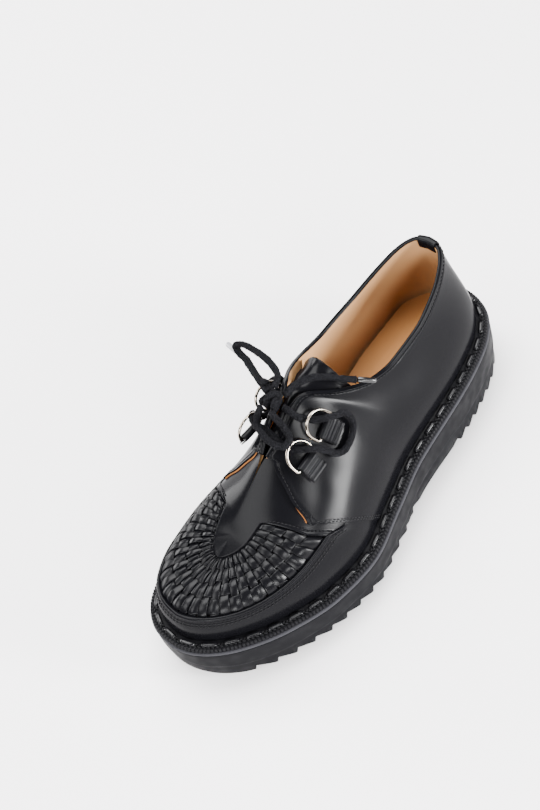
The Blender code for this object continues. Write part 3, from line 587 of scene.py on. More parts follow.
def leave_knot(name):
    """First two points of a length of lace whose face meets the knot."""
    turn, lean = LEAVES[name]
    angle = 2.0 * math.pi * turn
    along = unit(knot_point(turn + 0.01) - knot_point(turn - 0.01))
    away = np.array([lean, math.sin(angle), math.cos(angle)])
    away = unit(away - along * (away @ along))
    face = knot_point(turn) + away * (0.5 * LACE + GAP)
    return [face, face + away * LACE_SQUARE * LACE]


def lace_route(rings):
    """Middle line of the lace through the four rings, from knot to knot."""
    sides = []
    for side, label in ((1, "outer"), (-1, "inner")):
        route = leave_knot(label)
        for ring, steps in ((label + "_upper", THREADING), (label + "_lower", THREADING[::-1])):
            bar, along, climb, outward = rings[ring]
            route += [bar + climb * away + along * ahead + outward * lift for away, ahead, lift in steps]
            if ring == label + "_upper":
                off = OVERLAY + 0.5 * LACE + LACE_CLEAR
                route += [wall_at(side, way, up, off) for way, up in LACE_TURN]
        sides.append(route)
    middle = 0.5 * (sides[0][-1] + sides[1][-1]) + np.array((0.0, 0.0, CROSSING_RISE))
    return sides[0] + [middle] + sides[1][::-1]


def ease(value, low, high):
    """0 below low, 1 above high, smooth between."""
    t = np.clip((np.asarray(value, float) - low) / (high - low), 0.0, 1.0)
    return t * t * (3.0 - 2.0 * t)


def bell(step, width):
    """Weights of a soft average over neighbours, and how many of them it takes on each side."""
    reach = int(3.0 * width / step)
    weight = np.exp(-0.5 * (np.arange(-reach, reach + 1) * step / width) ** 2)
    return reach, weight / weight.sum()


# The upper on a dense grid

SKIN_WAYS = 1201
SKIN_UPS = 121
RELAX_FROM = 0.36
RELAX_TO = 0.68
RELAX_REACH = 0.014


def relax(ways, place):
    """Even out the bends of the wall round the throat, as leather does over a last."""
    reach, weights = bell(ways[1] - ways[0], RELAX_REACH)
    even = np.zeros_like(place)
    for shift, weight in zip(range(-reach, reach + 1), weights):
        even += weight * np.roll(place, shift, axis=0)
    begun = ease(np.abs(ways), RELAX_FROM, RELAX_FROM + 0.03)
    ended = ease(np.abs(ways), RELAX_TO - 0.06, RELAX_TO)
    near = begun * (1.0 - ended)
    return place + (even - place) * near[:, None, None]


def build_skin():
    """Positions, outward directions and climb directions of the upper, with each wall line's length."""
    ways = np.linspace(-1.0, 1.0, SKIN_WAYS)
    ups = np.linspace(0.0, 1.0, SKIN_UPS)
    place = np.zeros((len(ways), len(ups), 3))
    length = np.zeros(len(ways))
    for i, way in enumerate(ways):
        line, walk = wall_curve(1 if way >= 0 else -1, abs(float(way)))
        place[i] = read_line(ups, walk, line)
        length[i] = walked(line)[-1]
    place = relax(ways, place - TO_FRAME)
    along = np.zeros_like(place)
    along[1:-1] = place[2:] - place[:-2]
    along[0] = along[-1] = place[1] - place[-2]
    climb = np.zeros_like(place)
    climb[:, 1:-1] = place[:, 2:] - place[:, :-2]
    climb[:, 0] = place[:, 1] - place[:, 0]
    climb[:, -1] = place[:, -1] - place[:, -2]
    out = np.cross(along, climb)
    tiny = 1e-12
    out /= np.linalg.norm(out, axis=2, keepdims=True) + tiny
    climb /= np.linalg.norm(climb, axis=2, keepdims=True) + tiny
    return ways, ups, place, out, climb, length


WAYS, UPS, PLACE, OUT, CLIMB, WALL_LENGTH = build_skin()


def read_grid(table, way, up):
    """Values of a table of the upper at signed ways round (-1 to 1) and heights up the wall (0 to 1)."""
    way = (np.asarray(way, float) + 1.0) % 2.0 - 1.0
    x = np.clip((way + 1.0) / 2.0 * (len(WAYS) - 1), 0, len(WAYS) - 1.0001)
    y = np.clip(np.asarray(up, float) * (len(UPS) - 1), 0, len(UPS) - 1.0001)
    i = x.astype(int)
    j = y.astype(int)
    a = (x - i)[..., None]
    b = (y - j)[..., None]
    low = table[i, j] * (1 - a) + table[i + 1, j] * a
    high = table[i, j + 1] * (1 - a) + table[i + 1, j + 1] * a
    return low * (1 - b) + high * b


def skin_out(way, up):
    """Outward directions of the upper."""
    return unit(read_grid(OUT, way, up))


def skin(way, up, lift=0.0, beyond=0.0):
    """Points on the upper: signed way round, height up the wall, lift off it, reach beyond its edge."""
    way, up, lift, beyond = np.broadcast_arrays(way, up, lift, beyond)
    climb = read_grid(CLIMB, way, up)
    return read_grid(PLACE, way, up) + skin_out(way, up) * lift[..., None] + climb * beyond[..., None]


def wall_length(way):
    """Length up the wall from the welt to the top edge."""
    return np.interp((np.asarray(way, float) + 1.0) % 2.0 - 1.0, WAYS, WALL_LENGTH)


LINE_REACH = 0.010


def even_facing():
    """The facing edge with its bends evened out, from the seam's top to the throat and on."""
    ways = np.linspace(SEAM - 0.04, 1.0, 1000)
    start = smooth(WALL_LINES, 3, SEAM)
    before = 2.0 * start - smooth(WALL_LINES, 3, 2.0 * SEAM - ways)
    heights = np.where(ways < SEAM, before, smooth(WALL_LINES, 3, ways))
    reach, weights = bell(ways[1] - ways[0], LINE_REACH)
    longer = np.pad(heights, reach, mode="reflect", reflect_type="odd")
    return ways, np.convolve(longer, weights, mode="valid")


FACING_WAYS, FACING_UPS = even_facing()


def line_up(way, which):
    """Height up the wall of the toe wall's edge (1), the panel's inner edge (2) or the facing edge (3)."""
    if which == 3:
        return np.interp(np.abs(way), FACING_WAYS, FACING_UPS)
    return smooth(WALL_LINES, which, np.abs(way))


def lean(way, up):
    """The seam and its neighbours lean back towards the welt, on both sides."""
    near = smooth(SLANT, 1, np.abs(way))
    shift = SEAM_SLANT * near * np.maximum(0.0, 1.0 - np.asarray(up) / SLANT_TOP)
    return np.sign(way) * (np.abs(way) + shift)


def rim_row(place, inset):
    """Plan points round the whole rim, for places 0 to 2 from the toe by the outer side."""
    place = np.asarray(place, float) % 2.0
    outer = rim_point(1, np.minimum(place, 1.0), inset)[:2]
    inner = rim_point(-1, np.minimum(2.0 - place, 1.0), inset)[:2]
    x, y = (np.where(place <= 1.0, a, b) for a, b in zip(outer, inner))
    return x - MIDDLE, y


def over_band(place, inset, height):
    """Points round the rim at a height over the grey band's top edge."""
    x, y = rim_row(place, inset)
    return np.stack([x, y, sole_top(share_at(y)) + height], axis=-1)


# Materials


def paint(code):
    """Shader numbers of an sRGB colour given as six hex digits."""
    parts = [int(code[i:i + 2], 16) / 255 for i in (0, 2, 4)]
    return [*(c / 12.92 if c <= 0.04045 else ((c + 0.055) / 1.055) ** 2.4 for c in parts), 1.0]


def add(tree, kind, **values):
    """Add a node; names with a value set its inputs, and names with a node's output link to it."""
    node = tree.nodes.new(kind)
    for name, value in values.items():
        if name.startswith("_"):
            setattr(node, name[1:], value)
            continue
        key = int(name[1:]) if name[0] == "i" and name[1:].isdigit() else name.replace("_", " ")
        if isinstance(value, bpy.types.NodeSocket):
            tree.links.new(value, node.inputs[key])
        else:
            node.inputs[key].default_value = value
    return node


def new_finish(name, colour, roughness, ior=1.5, metallic=0.0, gleam=0.5):
    """A material with its plain numbers on the shader's own sockets."""
    finish = bpy.data.materials.new(name)
    finish.use_nodes = True
    tree = finish.node_tree
    shader = tree.nodes["Principled BSDF"]
    shader.inputs["Base Color"].default_value = paint(colour)
    shader.inputs["Roughness"].default_value = roughness
    shader.inputs["IOR"].default_value = ior
    shader.inputs["Specular IOR Level"].default_value = gleam
    shader.inputs["Metallic"].default_value = metallic
    return finish, tree, shader


def grain(tree, shader, size_mm, depth_mm):
    """Fine relief of a real size in millimetres over the whole piece."""
    where = add(tree, "ShaderNodeTexCoord").outputs["Object"]
    height = add(tree, "ShaderNodeTexNoise", Vector=where, Scale=1000.0 / size_mm, Detail=3.0).outputs[0]
    bump = add(tree, "ShaderNodeBump", Height=height, Strength=1.0, Distance=depth_mm / 1000.0)
    tree.links.new(bump.outputs["Normal"], shader.inputs["Normal"])


def vary(tree, shader, socket, size_mm, low, high):
    """Let a value drift between two limits in patches of a real size."""
    where = add(tree, "ShaderNodeTexCoord").outputs["Object"]
    patches = add(tree, "ShaderNodeTexNoise", Vector=where, Scale=1000.0 / size_mm, Detail=1.0).outputs["Fac"]
    spread = add(tree, "ShaderNodeMapRange", Value=patches, From_Min=0.35, From_Max=0.65,
                 To_Min=low, To_Max=high)
    tree.links.new(spread.outputs["Result"], shader.inputs[socket])


# Pores break the wax film, so leather mirrors less at a low angle than a clear coat would.
LOW_ANGLE = 0.1
FILM_PATCH_MM = 26.0
PORE_DEPTH_MM = 0.012


def leather(name, colour, low, high, pore_mm=0.45, gleam=0.06):
    """Waxed calf: fine pores, with a gloss that drifts from hand polishing."""
    finish, tree, shader = new_finish(name, colour, 0.5 * (low + high), gleam=gleam)
    grain(tree, shader, pore_mm, PORE_DEPTH_MM)
    vary(tree, shader, "Roughness", FILM_PATCH_MM, low, high)
    tilt = add(tree, "ShaderNodeLayerWeight", Blend=0.5).outputs["Facing"]
    level = add(tree, "ShaderNodeMapRange", Value=tilt, From_Min=0.1, From_Max=0.75,
                To_Min=gleam, To_Max=LOW_ANGLE * gleam)
    tree.links.new(level.outputs["Result"], shader.inputs["Specular IOR Level"])
    return finish


GRIT_MM = 0.5
GRIT_DEPTH_MM = 0.03
BLOOM_PATCH_MM = 9.0


def rubber(name, colour, roughness):
    """Moulded rubber: dull, with the grit of its mould and a bloom that comes and goes."""
    finish, tree, shader = new_finish(name, colour, roughness, ior=1.52, gleam=0.03)
    grain(tree, shader, GRIT_MM, GRIT_DEPTH_MM)
    vary(tree, shader, "Roughness", BLOOM_PATCH_MM, roughness - 0.08, roughness + 0.08)
    return finish


STRAND_SLANT = 0.6
FUZZ_PER_METRE = 1300.0


def cloth_cord(name, colour, fibre_and_crown_sheen):
    """Braided cotton: fine strands on the slant along the lace's own length, and a paler colour on the
    strands' crowns, partly random fibre fuzz and partly painted sheen.
    """
    finish, tree, shader = new_finish(name, colour, 0.9, ior=1.45, gleam=0.05)
    shader.inputs["Sheen Weight"].default_value = 0.02
    shader.inputs["Sheen Roughness"].default_value = 0.4
    shader.inputs["Sheen Tint"].default_value = paint("5a5a60")
    where = add(tree, "ShaderNodeUVMap", _uv_map="along").outputs["UV"]
    waves = []
    for turn in (STRAND_SLANT, -STRAND_SLANT):
        tilted = add(tree, "ShaderNodeMapping", Vector=where, Rotation=(0, 0, turn)).outputs["Vector"]
        wave = add(tree, "ShaderNodeTexWave", Vector=tilted, Scale=1.0, Distortion=0.6, Detail=1.0)
        waves.append(wave.outputs["Fac"])
    higher = add(tree, "ShaderNodeMath", _operation="MAXIMUM", i0=waves[0], i1=waves[1]).outputs[0]
    bump = add(tree, "ShaderNodeBump", Height=higher, Strength=1.0, Distance=0.0004)
    tree.links.new(bump.outputs["Normal"], shader.inputs["Normal"])
    # Paler colour where the braid's strands crown, broken up by noise: painted sheen on the crowns, with some
    # real fuzz in it
    place = add(tree, "ShaderNodeTexCoord").outputs["Object"]
    fuzz = add(tree, "ShaderNodeTexNoise", Vector=place, Scale=FUZZ_PER_METRE, Detail=2.0).outputs["Fac"]
    raised = add(tree, "ShaderNodeMath", _operation="MULTIPLY", i0=higher, i1=fuzz).outputs[0]
    crown_sheen_amount = add(tree, "ShaderNodeMapRange", Value=raised, From_Min=0.3, From_Max=0.6, To_Min=0.0, To_Max=1.0)
    crown_sheen_mix = add(tree, "ShaderNodeMix", _data_type="RGBA", i0=crown_sheen_amount.outputs["Result"],
                i6=paint(colour), i7=paint(fibre_and_crown_sheen))
    tree.links.new(crown_sheen_mix.outputs[2], shader.inputs["Base Color"])
    return finish


# Calf, dyed black, waxed and brushed by hand: deep black, with soft and fairly sharp highlights.
BLACK = leather("polished_black_leather", "08080a", 0.19, 0.25)
# Thicker welt leather, dyed and left unpolished: dull and a little greyer than the upper.
DULL_BLACK = leather("welt_black_leather", "0e0e10", 0.34, 0.48)
# Flat thong of pressed leather: a short bright glint on each dash.
THONG = leather("thong_black_leather", "0b0b0d", 0.18, 0.30, gleam=0.18)
# Thin split strips, cut and woven by hand: satin, with a small highlight on each crown.
STRIP = leather("woven_black_leather", "070709", 0.25, 0.35, gleam=0.10)
# Vegetable-tanned lining leather, left undyed: warm tan with no gloss, and pores that show.
TAN = leather("tan_lining_leather", "a07a54", 0.42, 0.55, pore_mm=0.7)
# The same leather pressed flat for the sock: slightly darker.
SOCK = leather("tan_sock_leather", "94683e", 0.42, 0.55, pore_mm=0.7)
# Raw cut edge of the lining leather: darker and rough, as its fibres stand open.
EDGE_TAN = leather("cut_tan_edge", "7d502b", 0.5, 0.65)
# Black rubber, moulded: matt, nearly black, with a soft wide sheen.
SOLE = rubber("black_sole_rubber", "0d0d0f", 0.55)
# Grey rubber, moulded in a thin layer: a lighter dull line all round the sole.
BAND = rubber("grey_band_rubber", "2b2b2e", 0.6)
# Strap leather, folded and stitched: between the upper's gloss and the welt's dullness.
HOLDER = leather("holder_black_leather", "0c0c0e", 0.26, 0.40)
# Waxed black thread: small dark beads with hardly any light on them.
THREAD = new_finish("black_thread", "0b0b0d", 0.6, gleam=0.1)[0]
# Steel wire plated with bright nickel: a warm grey mirror.
NICKEL = new_finish("nickel_wire", "8a8277", 0.10, metallic=1.0)[0]
# Cotton, dyed black and braided: soot black and matt, with a greyer colour on its crowns that is partly fibre
# fuzz and partly painted sheen.
CORD = cloth_cord("black_cotton_cord", "060608", "232326")
# Acetate film, wrapped tight round the lace ends: smooth, with one clear highlight along it.
GREY_TIP = new_finish("grey_tip_film", "8a8a8e", 0.35)[0]
BLACK_TIP = new_finish("black_tip_film", "0c0c0d", 0.25)[0]


# Making pieces


def put_in(name, data):
    """A new object of the scene."""
    body = bpy.data.objects.new(name, data)
    bpy.context.scene.collection.objects.link(body)
    return body


def hand_over(body, replaces=(), slot=None):
    """Ride a finished piece on the shoe, and hide the nodes it stands for; the slot it is given is not used.
    """
    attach(body, "root")
    if replaces:
        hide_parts(*replaces)
    return body


def make_piece(name, grids, finish, merge=0.0, flat_angle=None, uv=None, **others):
    """One piece from grids of points, each being (points, joined round its first way, round its second)."""
    points = []
    faces = []
    for grid, round_first, round_second in grids:
        grid = np.asarray(grid, float)
        base = len(points)
        m, n = grid.shape[:2]
        points.extend(map(tuple, grid.reshape(-1, 3)))
        rows = m if round_first else m - 1
        cols = n if round_second else n - 1
        i, j = np.meshgrid(np.arange(rows), np.arange(cols), indexing="ij")
        k = (i + 1) % m
        h = (j + 1) % n
        quads = np.stack([i * n + j, k * n + j, k * n + h, i * n + h], axis=-1).reshape(-1, 4) + base
        faces.extend(map(tuple, quads.tolist()))
    data = bpy.data.meshes.new(name)
    data.from_pydata(points, [], faces)
    if uv is not None:
        layer = data.uv_layers.new(name="along")
        corner = np.array([loop.vertex_index for loop in data.loops])
        layer.data.foreach_set("uv", np.asarray(uv, float)[corner].ravel())
    if merge > 0.0:
        shape = bmesh.new()
        shape.from_mesh(data)
        bmesh.ops.remove_doubles(shape, verts=shape.verts, dist=merge)
        shape.to_mesh(data)
        shape.free()
    data.shade_smooth()
    if flat_angle is not None:
        data.set_sharp_from_angle(angle=math.radians(flat_angle))
    data.materials.append(finish)
    return hand_over(put_in(name, data), **others)


# Sole


# The wall's moulded step: distance inside the rim, share of the way down the wall
MOULD_STEP = ((0.00035, 0.565), (0.00045, 0.575), (0.0009, 0.585), (0.00095, 0.61), (0.0012, 0.72))


def sole_profile():
    """Stations along the sole with the depth of cut at each, in fine steps."""
    rows = [(0.0, 0.0), (HEEL_PAD, 0.0)]
    start = HEEL_PAD
    for _ in range(HEEL_TEETH):
        rows.append((start + HEEL_CUT_AT * HEEL_TOOTH_PITCH, 1.0))
        rows.append((start + HEEL_TOOTH_PITCH - TOOTH_LAND, 0.0))
        rows.append((start + HEEL_TOOTH_PITCH, 0.0))
        start += HEEL_TOOTH_PITCH
    start = SOLE_LENGTH - TOE_PAD - TOE_TEETH * TOOTH_PITCH
    for _ in range(TOE_TEETH):
        rows.append((start, 0.0))
        rows.append((start + TOOTH_LAND, 0.0))
        rows.append((start + TOE_CUT_AT * TOOTH_PITCH, 1.0))
        start += TOOTH_PITCH
    rows += [(start, 0.0), (SOLE_LENGTH, 0.0)]
    places = np.array([row[0] for row in rows])
    depths = np.array([row[1] for row in rows])
    ends = 0.012 * (1 - np.cos(np.linspace(0, math.pi / 2, 14)))
    fine = np.concatenate([places, np.arange(0.0, SOLE_LENGTH, 0.002), ends, SOLE_LENGTH - ends])
    fine = np.unique(np.round(np.clip(fine, 0.0, SOLE_LENGTH), 6))
    return fine / SOLE_LENGTH, np.interp(fine, places, depths)


def build_outsole():
    """Rubber wedge with its toothed underside: rows round its wall, and a floor from side to side."""
    stations, cuts = sole_profile()
    count = len(stations)
    order = np.concatenate([np.arange(count)[::-1], np.arange(1, count - 1)])
    outer_side = np.arange(len(order)) < count
    share = stations[order]
    cut = cuts[order]
    place = np.where(outer_side, way_at(1, share), 2.0 - way_at(-1, share))

    def top(at, below=0.0):
        return sole_top(at) - BAND_THICK - GAP - below

    def base(at, above=0.0):
        return sole_base(share) + TOOTH_DEPTH * cut + above

    def between(part):
        return lambda at: top(at) * (1 - part) + sole_base(share) * part

    # distance inside the rim, height: a rounded top edge, the wall, its moulded step, the teeth's edge
    rows = [(0.006, top), (0.0005, top), (0.0001, lambda at: top(at, 0.00015))]
    rows += [(0.0, lambda at: top(at, 0.0006))]
    rows += [(0.0002 * part, between(0.5 * part)) for part in (0.25, 0.5, 0.75, 1.0)]
    rows += [(inset, between(part)) for inset, part in MOULD_STEP]
    rows += [(SIDE_TAPER, lambda at: base(at, 0.0005))]
    rows += [(SIDE_TAPER + 0.0004, base), (SIDE_TAPER + 0.0012, base)]
    loops = []
    for inset, height in rows:
        x, y = rim_row(place, inset)
        loops.append(np.stack([x, y, height(share_at(y))], axis=-1))
    loops = np.stack(loops)
    last = loops[-1]
    outer = last[:count]
    inner = np.vstack([last[:1], last[count:][::-1], last[count - 1:count]])
    across = np.linspace(0.0, 1.0, 9)[:, None, None]
    floor = outer[None] * (1 - across) + inner[None] * across
    make_piece("outsole_rubber", [(loops, False, True), (floor, False, False)], SOLE,
               replaces=("outsole",), slot="black_rubber", merge=0.00002, flat_angle=38)


def rim_strip(name, levels, finish, steps=900, **others):
    """A closed strip round the rim: each level is (inset, height over the band's top edge)."""
    place = np.linspace(0.0, 2.0, steps, endpoint=False)
    rows = [over_band(place, inset, height) for inset, height in levels]
    return make_piece(name, [(np.stack(rows), False, True)], finish, **others)


def build_band():
    """Grey layer on the outsole, its edge slightly bowed."""
    edge = 0.0003
    rim_strip("mid_band", [(0.006, 0.0), (edge, 0.0), (0.0, -edge), (-0.0001, -0.5 * BAND_THICK),
                           (0.0, edge - BAND_THICK), (edge, -BAND_THICK), (0.006, -BAND_THICK)],
              BAND, replaces=("grey_band",), slot="grey_band", flat_angle=50)


NOTCH_PITCH = 0.0024
NOTCH_DEPTH = 0.0007
NOTCH_DROP = 0.9


def build_welt():
    """Welt whose outer rim is cut in small notches, with a shallow channel for its stitches."""
    steps = 3600
    place = np.linspace(0.0, 2.0, steps, endpoint=False)
    x, y = rim_row(place, 0.0)
    walk = np.concatenate([[0.0], np.cumsum(np.hypot(np.diff(x), np.diff(y)))])
    count = round(walk[-1] / NOTCH_PITCH)
    turn = 2.0 * math.pi * count * walk / walk[-1]
    notch = NOTCH_DEPTH * np.maximum(0.0, np.cos(turn)) ** 1.5
    base = GAP
    top = GAP + WELT_THICK
    # distance inside the rim, height, share of the notch's depth, share of its drop
    levels = ((RIM_SETBACK, base, 0.6, 0.0),
              (RIM_SETBACK - 0.0001, base + 0.4 * WELT_THICK, 1.0, 0.0),
              (RIM_SETBACK, top - 0.0007, 1.0, 0.0),
              (RIM_SETBACK + 0.0004, top - 0.0001, 1.0, NOTCH_DROP),
              (RIM_SETBACK + 0.0014, top, 1.0, NOTCH_DROP),
              (RIM_SETBACK + 0.0021, top - 0.0001, 0.0, 0.0),
              (RIM_SETBACK + 0.0026, top - 0.0007, 0.0, 0.0),
              (RIM_SETBACK + 0.0044, top - 0.0007, 0.0, 0.0),
              (RIM_SETBACK + 0.0049, top - 0.0001, 0.0, 0.0),
              (WELT_SHOWN + 0.0015, top, 0.0, 0.0))
    rows = [over_band(place, inset + notch * deep, height - notch * drop)
            for inset, height, deep, drop in levels]
    make_piece("welt_rim", [(np.stack(rows), False, True)], DULL_BLACK, replaces=("welt",),
               slot="welt_leather", flat_angle=50)


# What repeats along a row


def repeat_tree(name, shape):
    """Geometry nodes that set one small shape on every point of a row, turned by its stored directions."""
    tree = bpy.data.node_groups.new(name, "GeometryNodeTree")
    face = tree.interface
    face.new_socket("Geometry", in_out="INPUT", socket_type="NodeSocketGeometry")
    for label in ("Length", "Width", "Height"):
        face.new_socket(label, in_out="INPUT", socket_type="NodeSocketFloat")
    face.new_socket("Finish", in_out="INPUT", socket_type="NodeSocketMaterial")
    face.new_socket("Geometry", in_out="OUTPUT", socket_type="NodeSocketGeometry")
    given = add(tree, "NodeGroupInput")
    size = add(tree, "ShaderNodeCombineXYZ", X=given.outputs["Length"], Y=given.outputs["Width"],
               Z=given.outputs["Height"])
    if shape == "thread":
        # a bead, its poles at the ends of the stitch
        form = add(tree, "GeometryNodeMeshUVSphere", Segments=8, Rings=6, Radius=0.5)
        formed = add(tree, "GeometryNodeTransform", Geometry=form.outputs["Mesh"],
                     Rotation=(0, math.pi / 2, 0))
    else:
        # a flat strap that bends down at its ends and a little at its long edges
        form = add(tree, "GeometryNodeMeshCube", Vertices_X=13, Vertices_Y=7, Vertices_Z=3)
        here = add(tree, "GeometryNodeInputPosition").outputs[0]
        where = add(tree, "ShaderNodeSeparateXYZ", Vector=here)
        powers = []
        for axis, power in (("X", 6.0), ("Y", 4.0)):
            twice = add(tree, "ShaderNodeMath", _operation="MULTIPLY", i0=where.outputs[axis], i1=2.0)
            away = add(tree, "ShaderNodeMath", _operation="ABSOLUTE", i0=twice.outputs[0])
            raised = add(tree, "ShaderNodeMath", _operation="POWER", i0=away.outputs[0], i1=power)
            powers.append(raised.outputs[0])
        fall = add(tree, "ShaderNodeMath", _operation="MULTIPLY_ADD", i0=powers[1], i1=0.35, i2=powers[0])
        less = add(tree, "ShaderNodeMath", _operation="MULTIPLY", i0=fall.outputs[0], i1=-0.75)
        drop = add(tree, "ShaderNodeCombineXYZ", Z=less.outputs[0])
        formed = add(tree, "GeometryNodeSetPosition", Geometry=form.outputs["Mesh"], Offset=drop.outputs[0])
    along = add(tree, "GeometryNodeInputNamedAttribute", _data_type="FLOAT_VECTOR", Name="ahead")
    outward = add(tree, "GeometryNodeInputNamedAttribute", _data_type="FLOAT_VECTOR", Name="outward")
    first = add(tree, "FunctionNodeAlignRotationToVector", _axis="X", Vector=along.outputs["Attribute"])
    second = add(tree, "FunctionNodeAlignRotationToVector", _axis="Z", _pivot_axis="X",
                 Rotation=first.outputs["Rotation"], Vector=outward.outputs["Attribute"])
    placed = add(tree, "GeometryNodeInstanceOnPoints", Points=given.outputs["Geometry"],
                 Instance=formed.outputs["Geometry"], Rotation=second.outputs["Rotation"],
                 Scale=size.outputs[0])
    real = add(tree, "GeometryNodeRealizeInstances", Geometry=placed.outputs["Instances"])
    smoothed = add(tree, "GeometryNodeSetShadeSmooth", Geometry=real.outputs["Geometry"])
    finished = add(tree, "GeometryNodeSetMaterial", Geometry=smoothed.outputs["Geometry"],
                   Material=given.outputs["Finish"])
    add(tree, "NodeGroupOutput", Geometry=finished.outputs["Geometry"])
    return tree


TREES = {}


def repeat(name, points, ahead, outward, size, finish, shape="thread", **others):
    """One piece of equal small shapes at the points, size being length, width and height."""
    if shape not in TREES:
        TREES[shape] = repeat_tree(shape + "_row", shape)
    data = bpy.data.meshes.new(name + "_points")
    data.from_pydata([tuple(p) for p in points], [], [])
    for label, values in (("ahead", ahead), ("outward", outward)):
        kept = data.attributes.new(label, "FLOAT_VECTOR", "POINT")
        kept.data.foreach_set("vector", np.asarray(values, np.float32).ravel())
    body = put_in(name, data)
    modifier = body.modifiers.new("row", "NODES")
    modifier.node_group = TREES[shape]
    given = [item for item in TREES[shape].interface.items_tree if item.in_out == "INPUT"]
    sockets = {item.name: item.identifier for item in given}
    for label, value in zip(("Length", "Width", "Height"), size):
        modifier[sockets[label]] = float(value)
    modifier[sockets["Finish"]] = finish
    bpy.context.view_layer.update()
    made = bpy.data.meshes.new_from_object(body.evaluated_get(bpy.context.evaluated_depsgraph_get()))
    body.modifiers.clear()
    body.data = made
    return hand_over(body, **others)


def walk_row(points, pitch, closed=False):
    """Even places along a row of points, counted in its points; round a closed row they come out even."""
    walk = walked(points)
    count = max(1, int(walk[-1] / pitch))
    if closed:
        count = int(round(walk[-1] / pitch))
        pitch = walk[-1] / count
    return np.interp(pitch * (np.arange(count) + 0.5), walk, np.arange(len(points)))


def rim_repeat(name, inset, height, size, finish, pitch=None, count=None, slant=0.0, **others):
    """A row of small shapes round the rim, a set distance apart or a set number of them, on the slant."""
    line = over_band(np.linspace(0.0, 2.0, 2001), inset, height)
    total = np.sum(np.linalg.norm(np.diff(line, axis=0), axis=1))
    index = np.arange(len(line))
    spots = walk_row(line, total / (count or round(total / pitch)), closed=True)
    points = read_line(spots, index, line)
    ahead = unit(read_line(spots, index, np.gradient(line, axis=0)))
    across = np.cross(ahead, [0.0, 0.0, 1.0])
    ahead = ahead * math.cos(slant) + across * math.sin(slant)
    up = np.tile([0.0, 0.0, 1.0], (len(points), 1))
    return repeat(name, points, ahead, up, size, finish, **others)


# Welt trim: (length, width, height) of a dash and of a bead. A row of beads: name, distance inside the
# welt's edge, slant in radians
DASH = (0.0098, 0.8 * THONG_WIDTH, 0.0016)
BEAD = (0.0029, 0.0014, 0.0016)
BEAD_PITCH = 0.0027
BEAD_ROWS = (("outer", 0.0029, 0.45), ("inner", 0.0042, -0.45))


def build_welt_trim():
    """Thong dashes along the upper, and two slanting rows of beads that read as a plait."""
    floor = GAP + WELT_THICK
    inset = WELT_SHOWN - THONG_CLEAR - 0.5 * THONG_WIDTH
    rim_repeat("welt_thong_dashes", inset, floor + 0.0009, DASH, THONG, count=DASHES, shape="strap",
               replaces=("welt_thong",), slot="thong_leather")
    for label, inset, slant in BEAD_ROWS:
        rim_repeat("welt_stitches_" + label, RIM_SETBACK + inset, floor - 0.0003, BEAD, THREAD,
                   pitch=BEAD_PITCH, slant=slant, slot="thong_leather")


# Upper

# metres along the quarter for one share of the way round, and up its front for one share of its height
SIDE_LENGTH = 0.37
SIDE_HEIGHT = 0.075


def joined(*parts):
    """Several runs of numbers, one after the other."""
    return np.concatenate([np.asarray(part, float) for part in parts])


# Folded edge of the toe wall: millimetres down from the edge, millimetres off the upper
TOE_FOLD = ((0.0, -0.3), (0.0, 0.7), (0.08, 1.35), (0.25, 1.85), (0.55, 2.2), (1.0, 2.35), (1.5, 2.3),
            (2.0, 2.1), (2.5, 1.75), (2.9, 1.45), (3.3, 1.32), (3.8, 1.3), (4.6, 1.3), (5.6, 1.3))


def build_toe_wall():
    """Wall round the toe with a folded, raised upper edge; its ends go in under the quarters."""
    ways = np.linspace(-SEAM - 0.03, SEAM + 0.03, 360)
    edge = line_up(ways, 1)
    run = wall_length(ways)
    up = [np.clip(edge - away / 1000.0 / run, 0.0, 1.0) for away, lift in TOE_FOLD]
    lifts = [np.full_like(ways, lift / 1000.0) for away, lift in TOE_FOLD]
    low = up[-1]
    for part in np.linspace(0.0, 1.0, 16)[1:]:
        up.append(low * (1 - part))
        lifts.append(np.full_like(ways, OVERLAY))
    up = np.array(up)
    lifts = np.array(lifts)
    under = ease(np.abs(ways), SEAM - 0.016, SEAM - 0.003)
    lifts = lifts - under[None] * (np.maximum(lifts, 0.0) - 0.5 * np.minimum(lifts, OVERLAY))
    make_piece("toe_wall", [(skin(lean(ways[None], up), up, lifts), False, False)], BLACK,
               replaces=("upper",), slot="black_leather")


SUNK = 0.0011
FOLD_HIGH = 0.0008


